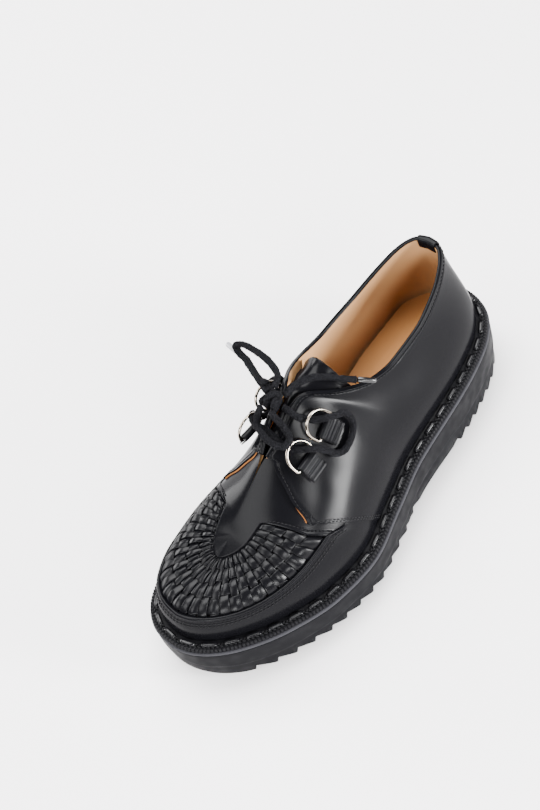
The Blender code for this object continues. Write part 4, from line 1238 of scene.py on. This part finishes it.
def build_vamp():
    """Smooth middle of the vamp, sunk under the weave and folded up along the weave's ends."""
    ways = joined(np.linspace(-THROAT, -PANEL_END - 0.012, 60),
                  np.linspace(-PANEL_END - 0.0115, -PANEL_END + 0.006, 30),
                  np.linspace(-PANEL_END + 0.007, PANEL_END - 0.007, 280),
                  np.linspace(PANEL_END - 0.006, PANEL_END + 0.0115, 30),
                  np.linspace(PANEL_END + 0.012, THROAT, 60))
    low = line_up(ways, 1)
    inner = line_up(ways, 2)
    run = wall_length(ways)
    parts = joined(np.linspace(0.0, 0.9, 14), np.linspace(0.92, 1.0, 5))
    up = [low + (inner - low) * part for part in parts]
    for away in (0.0004, 0.0008, 0.0012, 0.0016, 0.0022, 0.0030):
        up.append(np.minimum(inner + away / run, 0.5 + 0.5 * inner))
    top = up[-1]
    for part in np.linspace(0.0, 1.0, 26)[1:]:
        up.append(top + (1.0 - top) * part)
    up = np.array(up)
    above = (up - inner[None]) * run[None]
    band = 1.0 - ease(np.abs(ways), PANEL_END - 0.0012, PANEL_END + 0.0012)
    lifts = 0.0002 - SUNK * band[None] * (1.0 - ease(above, -0.0004, 0.0014))
    beyond = np.abs(ways) - PANEL_END
    risen = ease(beyond, -0.0002, 0.0016)
    fallen = ease(beyond, 0.0095, 0.0125)
    hollow = 0.25 * ease(beyond, 0.002, 0.005)
    fold = risen * (1.0 - fallen) * (1.0 - hollow)
    lifts = lifts + FOLD_HIGH * fold[None] * (1.0 - ease(above, -0.0010, 0.0012))
    make_piece("vamp", [(skin(lean(ways[None], up), up, lifts), False, False)], BLACK, slot="black_leather",
               merge=0.00003)


# Across a strip: share of its half width, height of its rounded face in millimetres
STRIP_SECTION = ((-1.0, -1.1), (-1.0, -0.42), (-0.96, -0.16), (-0.86, -0.04), (-0.6, 0.05), (-0.3, 0.12),
                 (0.0, 0.14), (0.3, 0.12), (0.6, 0.05), (0.86, -0.04), (0.96, -0.16), (1.0, -0.42),
                 (1.0, -1.1))
STRIP_SHARE, STRIP_DROP = np.array(STRIP_SECTION).T * [[1.0], [0.001]]


def panel_point(across, share, lift):
    """A place on the weave: across -1 to 1 from the inner side to the outer, share 0 to 1 up the band."""
    way = across * (PANEL_END - 0.001)
    low = line_up(way, 1)
    high = line_up(way, 2)
    up = low + (high - low) * share
    return skin(lean(way, up), up, lift)


WEAVE_BIAS = 0.86
WEAVE_HEIGHT = 0.00088
RADIAL_HALF = 0.83
CROSS_HALF = 0.41


def build_weave():
    """Strips out from the smooth middle, woven over and under the strips round it, none quite alike."""
    rng = np.random.default_rng(5)
    grids = []
    t = np.linspace(-0.04, 1.02, 46)[:, None]
    even = np.clip(t, 0.0, None) ** (1.0 / WEAVE_BIAS)
    ends = ease(t, -0.04, 0.02) * (1.0 - ease(t, 0.965, 1.02))
    for strip in range(RADIAL_STRIPS):
        middle = 2.0 * (strip + 0.5) / RADIAL_STRIPS - 1.0
        wave = np.cos(math.pi * (CROSS_STRIPS * even - 0.5 + strip))
        half = RADIAL_HALF / RADIAL_STRIPS * (1.0 + rng.normal(0.0, 0.05))
        taper = 1.0 - 0.14 * np.clip(-wave, 0.0, 1.0) + 0.03 * wave
        sway = np.sin(math.pi * (rng.uniform(1.0, 2.2) * t + rng.uniform(0.0, 2.0)))
        shift = (rng.normal(0.0, 0.06) + 0.09 * sway) * half
        tall = 1.0 + 0.16 * np.sin(7.0 * t + rng.uniform(0.0, 6.28)) + rng.normal(0.0, 0.08)
        lift = (0.00050 + WEAVE_HEIGHT * tall * wave) * ends - 0.0007 * (1 - ends) + STRIP_DROP[None]
        across = middle + shift + STRIP_SHARE[None] * half * taper
        grids.append((panel_point(across, t, lift), False, False))
    across = np.linspace(-1.0, 1.0, RADIAL_STRIPS * 9 + 1)[:, None]
    ends = 1.0 - ease(np.abs(across), 0.985, 1.0)
    for band in range(CROSS_STRIPS):
        low, high = (np.array([band, band + 1.0]) / CROSS_STRIPS) ** WEAVE_BIAS
        middle = 0.5 * (low + high) + 0.05 * (high - low) * np.sin(11.0 * across + 2.0 * band)
        half = CROSS_HALF * (high - low) * (1.0 + 0.06 * np.sin(17.0 * across + band))
        wave = -np.cos(math.pi * (0.5 * RADIAL_STRIPS * (across + 1.0) - 0.5 + band))
        lift = (0.00045 + WEAVE_HEIGHT * wave) * ends - 0.0006 * (1 - ends) + STRIP_DROP[None]
        grids.append((panel_point(across, middle + STRIP_SHARE[None] * half, lift), False, False))
    make_piece("woven_strips", grids, STRIP, replaces=("woven_panel",), slot="black_leather")


def quarter_top(way):
    """Upper limit of the quarter: the facing edge in front of the throat, the top edge behind it."""
    way = np.abs(way)
    facing = line_up(way, 3)
    return facing + (1.0 - facing) * ease(way, THROAT - 0.004, THROAT + 0.003)


# The quarter's edge, from its pressed channel up: distance down from the edge, share of the overlay's
# thickness
CHANNEL = ((0.0053, 1.0), (0.0045, 1.02), (0.0037, 1.02), (0.0032, 0.92), (0.0028, 0.76),
           (0.0024, 0.76), (0.0020, 0.94))
ROLL = ((0.0014, 1.0), (0.0006, 1.08), (0.00025, 1.12), (0.0001, 1.08), (0.00003, 0.97),
        (0.0, 0.80), (0.0, 0.0))
EDGE_BAND = 0.0062
PADDING = 0.35
WRAP_DEPTH = 0.00099
WRAP_REACH = 0.0009


def build_quarters():
    """Quarters with rolled edges, a pressed channel for the edge stitches, and padded facings."""
    away, thick = np.array(ROLL)[::-1].T
    for side, label in ((1, "outer"), (-1, "inner")):
        ways = joined(SEAM + away / SIDE_LENGTH,
                      np.linspace(SEAM + 0.006, THROAT - 0.008, 40),
                      np.linspace(THROAT - 0.007, THROAT + 0.010, 24),
                      np.linspace(THROAT + 0.012, COLLAR, 50),
                      np.linspace(COLLAR + 0.003, 1.0, 150))
        front = np.interp(ways - SEAM, away / SIDE_LENGTH, thick)
        front[0] = 0.0
        top = quarter_top(ways)
        run = wall_length(side * ways)
        open_edge = ease(ways, THROAT - 0.002, THROAT + 0.002)
        swell = PADDING * (1.0 - open_edge)
        up = [(top - EDGE_BAND / run) * part for part in np.linspace(0.0, 1.0, 30)]
        lifts = [np.ones_like(ways)] * len(up)
        for below, share in CHANNEL + ROLL:
            up.append(top - below / run)
            lifts.append(share * (1.0 + swell * ease(EDGE_BAND - below, 0.0, 0.0035)))
        lifts = OVERLAY * np.array(lifts) * front[None]
        wrap = np.zeros_like(lifts)
        for part in np.linspace(0.0, 1.0, 7)[1:]:
            turn = math.pi * part
            up.append(top)
            lifts = np.vstack([lifts, -open_edge * WRAP_DEPTH * (1.0 - math.cos(turn))])
            wrap = np.vstack([wrap, open_edge * WRAP_REACH * math.sin(turn)])
        up = np.array(up)
        place = side * np.abs(lean(ways[None] * np.ones_like(up), up))
        make_piece("quarter_" + label, [(skin(place, up, lifts, wrap), False, False)], BLACK,
                   slot="black_leather")


# Cut edge of the lining leather, from under the facing round to its face: share shown, share of its thickness
CUT_SECTION = ((1.0, -0.3), (1.05, 0.2), (1.05, 0.7), (0.9, 1.0), (0.2, 1.05), (-0.6, 1.05))
CUT_SHOWN = 0.0007
CUT_THICK = 0.0008


def build_cut_edges():
    """Tan cut edge under the facings: all along the inner one, only the lowest end of the outer one."""
    shown, thick = np.array(CUT_SECTION).T[..., None]
    for side, label, last in ((1, "outer", SEAM + 0.030), (-1, "inner", THROAT - 0.004)):
        ways = np.linspace(SEAM + 0.0015, last, 120)
        width = CUT_SHOWN * (1.0 - ease(ways, last - 0.012, last))[None]
        up = line_up(ways, 3)[None] + shown * width / wall_length(side * ways)[None]
        lift = thick * CUT_THICK * np.ones_like(up)
        grid = skin(side * np.abs(lean(ways[None] * np.ones_like(up), up)), up, lift)
        make_piece("facing_cut_edge_" + label, [(grid, False, False)], EDGE_TAN, slot="tan_leather")


def build_lining():
    """Tan lining inside the whole upper, brought up close under its top edge."""
    ways = joined(np.linspace(-1.0, -THROAT, 170), np.linspace(-THROAT + 0.01, THROAT - 0.01, 80),
                  np.linspace(THROAT, 1.0, 170))
    top = np.where(np.abs(ways) >= THROAT, 1.0, 0.985)
    up = np.linspace(0.0, 1.0, 40)[:, None] * top[None]
    lift = -WALL + 0.0003 * ease(up, 0.965, 1.0)
    make_piece("lining", [(skin(ways[None], up, lift), False, False)], TAN, slot="tan_leather")


STRIP_HALF = 0.0052
TAB_HALF = 0.0068
TAB_UNDER = -0.45

# The tab's way over the top edge: height up the wall, millimetres off the upper, millimetres beyond its edge
TAB_UP = ((0.885, 0.0, 0.0), (0.885, 0.9, 0.0), (0.93, 1.7, 0.0), (0.97, 2.0, 0.0), (1.0, 2.2, 0.4))
TAB_DOWN = ((0.96, -3.2, 0.0), (0.92, -3.1, 0.0), (0.90, -2.2, 0.0))


def build_back_strip():
    """Narrow strip up the back seam, and the small tab folded over the top of it."""
    t = np.linspace(0.0, 1.0, 50)[:, None]
    half = STRIP_HALF / SIDE_LENGTH * (1.0 + 0.25 * t)
    lift = OVERLAY + 0.0011 + 0.8 * STRIP_DROP[None]
    strip = skin(1.0 + STRIP_SHARE[None] * half, t * 0.985, lift)
    make_piece("back_strip", [(strip, False, False)], BLACK, slot="black_leather")
    fold = [(1.0, TAB_UNDER + 2.65 * math.cos(math.pi * turn), 2.3 * math.sin(math.pi * turn))
            for turn in np.linspace(0.2, 1.0, 8)]
    path = np.array([*TAB_UP, *fold, *TAB_DOWN])
    path = read_line(np.linspace(0.0, len(path) - 1, 60), np.arange(len(path)), path)
    up, off, beyond = (path[:, k:k + 1] for k in range(3))
    lift = off / 1000.0 + STRIP_DROP[None] * np.sign(off - TAB_UNDER)
    tab = skin(1.0 + STRIP_SHARE[None] * TAB_HALF / SIDE_LENGTH, up, lift, beyond / 1000.0)
    make_piece("heel_tab", [(tab, False, False)], BLACK, slot="black_leather")


# Tongue and sock


def spline(points, count):
    """Smooth rows through a few points along the first way."""
    points = np.asarray(points, float)
    longer = np.concatenate([[2 * points[0] - points[1]], points, [2 * points[-1] - points[-2]]])
    at = np.linspace(0.0, len(points) - 1.0, count)
    i = np.minimum(at.astype(int), len(points) - 2)
    t = (at - i).reshape((-1,) + (1,) * (points.ndim - 1))
    a, b, c, d = (longer[i + step] for step in range(4))
    square = 2 * a - 5 * b + 4 * c - d
    cube = 3 * b - a - 3 * c + d
    return 0.5 * (2 * b + (c - a) * t + square * t * t + cube * t ** 3)


TONGUE_REACH = 0.0075
TONGUE_RISE = 0.0115
TONGUE_CURL = 0.0022


def build_tongue():
    """Tongue from under the facings to its free, gently waved top edge, black over tan."""
    rows = []
    depth = -WALL - TONGUE_CLEAR
    for way, height, ups in TONGUE_ROWS:
        ridge = top_edge(1, way)
        ridge[0] = -UPPER_SHIFT - 0.5 * float(swing_at(share_at(ridge[1]))) - MIDDLE
        ridge[2] += height + depth
        outer = [skin(way, up, depth) for up in ups]
        inner = [skin(-way, up, depth) for up in ups[::-1]]
        rows.append(outer + [ridge] + inner)
    rows = spline(np.array(rows), 60)
    sheet = np.stack([spline(row, 41) for row in rows])
    over = np.linspace(-1.0, 1.0, sheet.shape[1])
    reach = TONGUE_REACH * (1.0 + 0.30 * over + 0.18 * np.sin(5.0 * over + 0.4))
    ahead = unit(sheet[-1] - sheet[-5]) * reach[:, None]
    curl = np.array([0.0, 0.0, TONGUE_CURL])
    more = [sheet[-1] + ahead * part + curl * part ** 2 for part in np.linspace(0.0, 1.0, 12)[1:]]
    sheet = np.concatenate([sheet, np.array(more)])
    # its free end climbs along the wall on the inner side
    free = ease(np.linspace(0.0, 1.0, len(sheet)), 0.5, 1.0)[:, None, None]
    climb = ease(over, -0.1, 0.7)[None, :, None]
    sheet = sheet + free * climb * TONGUE_RISE * read_grid(CLIMB, -0.60, 0.8)
    out = unit(np.cross(np.gradient(sheet, axis=1), np.gradient(sheet, axis=0)))
    out *= np.sign(out[..., 2:3].mean())
    under = sheet - out * TONGUE_THICK
    rim = sheet[-1:] - out[-1:] * 0.5 * TONGUE_THICK
    make_piece("tongue_leather", [(np.concatenate([sheet, rim]), False, False)], BLACK,
               replaces=("tongue",), slot="black_leather")
    make_piece("tongue_lining", [(np.concatenate([rim, under[::-1]]), False, False)], TAN, slot="tan_leather")


def build_sock():
    """Sock leather over the insole, turned up a little along its sides."""
    inside = WELT_SHOWN + WALL + 0.0018
    floor = GAP + WELT_THICK + GAP
    place = np.linspace(0.0, 1.0, 200)
    rows = []
    for side in (1, -1):
        x, y = rim_point(side, place, inside)[:2]
        rows.append(np.stack([x - MIDDLE, y, sole_top(share_at(y)) + floor + INSOLE_THICK], axis=-1))
    across = np.linspace(0.0, 1.0, 25)[:, None, None]
    grid = rows[0][None] * (1 - across) + rows[1][None] * across
    grid[..., 2] += 0.0016 * (2 * across[..., 0] - 1.0) ** 4
    make_piece("insole_sock", [(grid, False, False)], SOCK, replaces=("insole",), slot="tan_leather")


# Lace

LACE_SOFT = LACE - 0.0005
LACE_STEP = 0.00033
LACE_ROUND = 48
PLAIT_STRANDS = 8
PLAIT_PITCH = 0.0024
PLAIT_DEPTH = 0.0006
END_ROUND = 0.0009


def carried_frames(line):
    """Two directions across a line, carried along it without twist."""
    ahead = unit(np.gradient(line, axis=0))
    first = np.zeros_like(line)
    start = np.cross(ahead[0], (0.31, 0.77, 0.55))
    for i, way in enumerate(ahead):
        start = unit(start - way * np.dot(start, way))
        first[i] = start
    return first, np.cross(ahead, first)


def even_line(points, step):
    """The same line with even steps, and the length walked to each of its points."""
    walk = walked(points)
    spots = np.linspace(0.0, walk[-1], max(4, int(round(walk[-1] / step)) + 1))
    return read_line(spots, walk, points), spots


def plait(walk, turn):
    """Height of a round braid from 0 to 1: two families of strands that pass over and under each other."""
    half = math.pi * walk / PLAIT_PITCH
    first = np.cos(0.5 * PLAIT_STRANDS * turn + half)
    second = np.cos(0.5 * PLAIT_STRANDS * turn - half)
    over = 0.32 * first * second
    return np.maximum(np.abs(first) ** 0.7 * (0.68 + over), np.abs(second) ** 0.7 * (0.68 - over))


def lace_piece(name, points, node):
    """One braided length of the lace over its plain CAD node; gives the piece, its line and its length."""
    line, walk = even_line(points, LACE_STEP)
    first, second = carried_frames(line)
    turn = np.linspace(0.0, 2.0 * math.pi, LACE_ROUND, endpoint=False)
    near_end = np.clip(np.minimum(walk, walk[-1] - walk) / END_ROUND, 0.0, 1.0)
    round_end = np.sqrt(near_end * (2.0 - near_end))
    radius = 0.5 * LACE_SOFT - PLAIT_DEPTH * (1.0 - plait(walk[:, None], turn[None]))
    uneven = 1.0 + 0.035 * np.sin(walk / 0.0013 + 1.3) + 0.03 * np.sin(walk / 0.00072)
    flat = 1.0 - 0.06 * (1.0 - np.cos(2.0 * (turn[None] - 60.0 * walk[:, None])))
    radius = radius * (0.55 + 0.45 * round_end[:, None]) * uneven[:, None] * flat
    radius[0] = 0.0
    radius[-1] = 0.0
    around = (first[:, None] * np.cos(turn)[None, :, None] + second[:, None] * np.sin(turn)[None, :, None])
    grid = line[:, None] + radius[..., None] * around
    uv = np.stack(np.broadcast_arrays(walk[:, None] * 1000.0, turn[None] * 0.5 * LACE * 1000.0), axis=-1)
    body = make_piece(name, [(grid, False, True)], CORD, replaces=(node,), slot="black_cotton",
                      uv=uv.reshape(-1, 2))
    return body, line, float(walk[-1])


def limp_cord(name, points, node, far_end, lay, **others):
    """A braided length of the lace, along its own middle line."""
    body, line, length = lace_piece(name, points, node)


# A tip from the lace on: distance along it, share of its half width
TIP_SHAPE = ((0.0, 0.0), (0.0, 0.82), (0.0003, 1.0), (0.4 * TIP_LENGTH, 1.0), (TIP_LENGTH - 0.0012, 0.94),
             (TIP_LENGTH - 0.0004, 0.72), (TIP_LENGTH, 0.36), (TIP_LENGTH, 0.0))


def tip_piece(shade, points, finish):
    """Wrapped stiff end straight on from a lace end, rounded at both its ends."""
    ahead = unit(points[-1] - points[-2])
    start = points[-1] + ahead * GAP
    across = unit(np.cross(ahead, (0.0, 0.0, 1.0)))
    other = np.cross(ahead, across)
    turn = np.linspace(0.0, 2.0 * math.pi, 28, endpoint=False)[:, None]
    around = across * np.cos(turn) + other * np.sin(turn)
    grid = [start + ahead * away + 0.5 * TIP_WIDTH * wide * around for away, wide in TIP_SHAPE]
    return make_piece("lace_tip_" + shade + "_film", [(np.array(grid), False, True)], finish,
                      replaces=("lace_tip_" + shade,), slot=shade + "_tip", flat_angle=50)


def build_lace(rings):
    """The lace through the rings, its knot, the bow's two loops, and the two ends with their tips."""
    lace_piece("lace_run", rounded(lace_route(rings)), "lace_crossing")
    knot_line = np.array([knot_point(turn) for turn in np.linspace(0.0, KNOT_TURNS, 300)]) - TO_FRAME
    limp_cord("lace_knot_braid", knot_line, "lace_knot", "object", "taut")
    for label, route in (("loop_top", TOP_LOOP), ("loop_lower", LOWER_LOOP)):
        points = leave_knot(label + "_first") + list(route) + leave_knot(label + "_last")[::-1]
        limp_cord("lace_" + label + "_braid", rounded(points), "lace_" + label, "object", "loose")
    for shade, route, finish in (("grey", GREY_END, GREY_TIP), ("black", BLACK_END, BLACK_TIP)):
        points = rounded(leave_knot("end_" + shade) + list(route))
        tip = tip_piece(shade, points, finish)
        limp_cord("lace_end_" + shade + "_braid", points, "lace_end_" + shade, "fitting", "loose",
                  with_pieces=[tip])


# Rings and holders

WIRE_SEEN = 0.75 * WIRE
RIDGES = 4


def ring_line():
    """The ring's wire in its own plane: bar, two round corners, two short legs and the arc."""
    half = 0.5 * (RING_WIDTH - WIRE)
    reach = RING_REACH - WIRE
    corner = 1.6 * BAR_ROUND
    right = [(x, 0.0) for x in np.linspace(0.0, half - corner, 10)]
    for turn in np.linspace(-90.0, 0.0, 10)[1:]:
        angle = math.radians(turn)
        right.append((half - corner + corner * math.cos(angle), corner + corner * math.sin(angle)))
    low = reach * (1.0 - ARC_SHARE)
    right += [(half, y) for y in np.linspace(corner, low, 6)[1:]]
    for turn in np.linspace(0.0, 90.0, 26)[1:]:
        angle = math.radians(turn)
        right.append((half * math.cos(angle), low + reach * ARC_SHARE * math.sin(angle)))
    return np.array(right + [(-x, y) for x, y in right[-2:0:-1]])


def holder_line():
    """Middle line of the folded strap: places up the wall, heights off it, with ridges on its upper leaf."""
    back = -0.5 * HOLDER_LENGTH
    points = [(place, 0.5 * LEAF) for place in np.linspace(back, BAR_AHEAD, 12)]
    middle = HOLE + 0.5 * LEAF
    for turn in np.linspace(-80.0, 90.0, 18):
        angle = math.radians(turn)
        points.append((BAR_AHEAD + middle * math.cos(angle), BAR_HEIGHT + middle * math.sin(angle)))
    high = BAR_HEIGHT + middle
    low = 1.5 * LEAF + LEAF_GAP
    for part in np.linspace(0.0, 1.0, 56)[1:]:
        ridge = RIDGE * (0.5 - 0.5 * math.cos(2.0 * math.pi * RIDGES * part)) * min(1.0, 6.0 * (1.0 - part))
        fall = 1.0 - ease(part, 0.0, 0.75)
        points.append((BAR_AHEAD - part * (BAR_AHEAD - back), low + (high - low) * float(fall) + 0.8 * ridge))
    return np.array(points)


def ring_grid(bar, along, reach):
    """Wire round the ring's line, with its bar at a place and its arc reaching out in a direction."""
    flat = ring_line()
    line = bar + flat[:, :1] * along + flat[:, 1:] * reach
    ahead = unit(np.roll(line, -1, axis=0) - np.roll(line, 1, axis=0))
    first = np.tile(np.cross(along, reach), (len(line), 1))
    second = np.cross(ahead, first)
    turn = np.linspace(0.0, 2.0 * math.pi, 20, endpoint=False)[None, :, None]
    return line[:, None] + 0.5 * WIRE_SEEN * (first[:, None] * np.cos(turn) + second[:, None] * np.sin(turn))


def strap_grid(strap, centre, along, climb, outward):
    """Strap with softly squared edges along its folded line, closed at both ends."""
    slope = unit(np.gradient(strap, axis=0))
    normal = np.stack([slope[:, 1], -slope[:, 0]], axis=-1)
    turn = np.linspace(0.0, 2.0 * math.pi, 40, endpoint=False)
    wide = 0.5 * HOLDER_WIDTH * np.sign(np.cos(turn)) * np.abs(np.cos(turn)) ** 0.22
    thick = 0.5 * LEAF * np.sign(np.sin(turn)) * np.abs(np.sin(turn)) ** 0.7
    place = strap[:, None, :] + normal[:, None, :] * thick[None, :, None]
    grid = centre + place[..., :1] * climb + place[..., 1:] * outward + wide[None, :, None] * along
    start, end = (np.repeat(grid[k].mean(axis=0)[None, None], len(turn), axis=1) for k in (0, -1))
    return np.concatenate([start, grid, end])


def build_rings():
    """Each nickel ring and its folded, ridged strap, with the rows of stitches behind the bar."""
    rings = {}
    threads = []
    strap = holder_line()
    leaf = strap[30:][::-1]
    places = np.linspace(-0.42, 0.16, 5)[:, None] * HOLDER_LENGTH
    heights = np.interp(places, leaf[:, 0], leaf[:, 1]) + 0.5 * LEAF
    for name, side, way, up, tilt in RINGS:
        centre, along, climb, outward = holder_frame(side, way, up)
        bar = centre + climb * BAR_AHEAD + outward * BAR_HEIGHT
        rings[name] = (bar, along, climb, outward)
        reach = climb * math.cos(math.radians(tilt)) + outward * math.sin(math.radians(tilt))
        make_piece("ring_" + name + "_wire", [(ring_grid(bar - TO_FRAME, along, reach), True, True)], NICKEL,
                   replaces=("ring_" + name,), slot="nickel")
        centre = centre - TO_FRAME
        folded = strap_grid(strap, centre, along, climb, outward)
        make_piece("holder_" + name + "_strap", [(folded, False, True)], HOLDER,
                   replaces=("holder_" + name,), slot="holder_leather", flat_angle=60)
        for across in (-0.40, 0.40):
            points = centre + places * climb + heights * outward + across * HOLDER_WIDTH * along
            threads.append((points, np.tile(outward, (len(points), 1))))
    stitch("holder_stitches", threads, 0.0023, (0.0019, 0.0006, 0.0006))
    return rings


# Stitches: distances of the rows from their edges

TOE_ROWS = (0.0045, 0.0062)
SEAM_ROWS = (0.0018, 0.0036)
BAR_TACK_ROWS = (0.0, 0.0011)
FACING_ROW = 0.0025
COLLAR_ROW = 0.0026
WEAVE_END_ROW = 0.0042


def stitch(name, lines, pitch=0.0026, size=(0.0021, 0.0008, 0.0008)):
    """Rows of thread: each line is its points and outward directions."""
    points = []
    aheads = []
    outs = []
    for line, outward in lines:
        index = np.arange(len(line))
        spots = walk_row(line, pitch)
        points.append(read_line(spots, index, line))
        aheads.append(unit(read_line(spots, index, np.gradient(line, axis=0))))
        outs.append(read_line(spots, index, outward))
    points, aheads, outs = (np.concatenate(rows) for rows in (points, aheads, outs))
    return repeat(name, points, aheads, outs, size, THREAD, slot="black_leather")


def surface_row(ways, ups, lift):
    """A row on the upper with its outward directions."""
    ways, ups = np.broadcast_arrays(np.asarray(ways, float), np.asarray(ups, float))
    return skin(ways, ups, lift), skin_out(ways, ups)


def build_stitches():
    """Rows along the toe wall, the facings, the collar, the seams and the weave's ends, and the bar-tacks."""
    ways = np.linspace(-SEAM + 0.010, SEAM - 0.010, 400)
    lines = []
    for inset in TOE_ROWS:
        up = line_up(ways, 1) - inset / wall_length(ways)
        lines.append(surface_row(lean(ways, up), up, OVERLAY + 0.0001))
    stitch("toe_wall_stitches", lines)
    for side, label in ((1, "outer"), (-1, "inner")):
        ways = np.linspace(SEAM + 0.008, COLLAR, 260)
        top = quarter_top(ways) - FACING_ROW / wall_length(side * ways)
        lines = [surface_row(side * lean(ways, top), top, OVERLAY)]
        ways = np.linspace(COLLAR + 0.004, 0.978, 300)
        top = 1.0 - COLLAR_ROW / wall_length(side * ways)
        lines.append(surface_row(side * ways, top, OVERLAY))
        for inset in SEAM_ROWS:
            up = np.linspace(0.02, line_height(SEAM, 3) - 0.03, 80)
            way = np.full_like(up, SEAM + inset / SIDE_LENGTH)
            lines.append(surface_row(side * lean(way, up), up, OVERLAY))
        for drop in BAR_TACK_ROWS:
            ways = np.linspace(SEAM + 0.006, SEAM + 0.026, 40)
            up = np.linspace(0.50, 0.545, 40) - drop / SIDE_HEIGHT
            lines.append(surface_row(side * lean(ways, up), up, OVERLAY))
        stitch("quarter_stitches_" + label, lines)
        up = np.linspace(line_height(PANEL_END, 1) + 0.01, line_height(PANEL_END, 2) - 0.01, 60)
        way = np.full_like(up, PANEL_END + WEAVE_END_ROW / SIDE_LENGTH)
        stitch("weave_end_stitches_" + label, [surface_row(side * lean(way, up), up, 0.0004)], 0.0024)


build_outsole()
build_band()
build_welt()
build_welt_trim()
build_toe_wall()
build_vamp()
build_weave()
build_quarters()
build_cut_edges()
build_lining()
build_back_strip()
build_tongue()
build_sock()
build_stitches()
build_lace(build_rings())


# Camera: the world turned and moved into the camera's own axes, and a focal length in points of the picture
CAMERA_TURN = ((0.76881669, 0.59180941, -0.24224475),
               (-0.37398207, 0.72340047, 0.58036985),
               (0.5187083, -0.35560284, 0.77748847))
CAMERA_SHIFT = (0.04614505, -0.05550261, -1.02923379)
CAMERA_FOCAL = 1614.41
PICTURE_HEIGHT = 810.0
SENSOR = 36.0

world_to_camera = Matrix(CAMERA_TURN).to_4x4()
world_to_camera.translation = Vector(CAMERA_SHIFT)
world_to_camera = world_to_camera @ Matrix.Translation((MIDDLE, 0.0, 0.0))
lens = bpy.data.cameras.new("photo_camera")
lens.lens = CAMERA_FOCAL * SENSOR / PICTURE_HEIGHT
lens.sensor_width = SENSOR
lens.clip_start = 0.05
lens.clip_end = 50.0
camera = put_in("photo_camera", lens)
camera.matrix_world = world_to_camera.inverted()
bpy.context.scene.camera = camera

# Floor, lights and the pale studio round them
FLOOR_REACH = 6
LIGHTS = (
    # name, place, what it points at, width, height, watts
    ("overhead_light", (-0.6, 0.5, 1.9), (0.0, 0.0, 0.0), 2.0, 1.6, 190.0),
    ("window_light", (-1.6, -0.32, 0.40), (0.0, 0.0, 0.08), 1.0, 0.6, 50.0),
    ("near_fill", (1.1, -0.3, 0.8), (0.0, -0.05, 0.1), 0.5, 0.35, 19.0),
    ("heel_side_light", (1.0, 0.75, 0.17), (0.0, 0.0, 0.08), 0.8, 0.28, 5.0),
    ("upper_fill", (-0.4, -1.1, 1.3), (0.0, -0.05, 0.1), 1.1, 0.8, 36.0),
    ("side_light", (1.3, 0.47, 0.36), (0.0, 0.0, 0.08), 0.36, 0.5, 68.0),
    ("front_light", (0.75, -1.3, 0.24), (0.0, -0.1, 0.05), 0.8, 0.35, 30.0),
)

corners = [(x * FLOOR_REACH, y * FLOOR_REACH, 0) for x, y in ((-1, -1), (1, -1), (1, 1), (-1, 1))]
floor_data = bpy.data.meshes.new("floor")
floor_data.from_pydata(corners, [], [(0, 1, 2, 3)])
floor_data.materials.append(new_finish("pale_floor", "efedee", 0.9, gleam=0.1)[0])
floor = put_in("floor", floor_data)

for name, place, target, width, height, power in LIGHTS:
    lamp_data = bpy.data.lights.new(name, "AREA")
    lamp_data.shape = "RECTANGLE"
    lamp_data.size = width
    lamp_data.size_y = height
    lamp_data.energy = power
    lamp = put_in(name, lamp_data)
    lamp.location = place
    lamp.rotation_euler = (Vector(target) - Vector(place)).to_track_quat("-Z", "Y").to_euler()

world = bpy.data.worlds.new("studio")
world.use_nodes = True
world.node_tree.nodes["Background"].inputs["Color"].default_value = paint("f4f3f5")
world.node_tree.nodes["Background"].inputs["Strength"].default_value = 0.25
bpy.context.scene.world = world
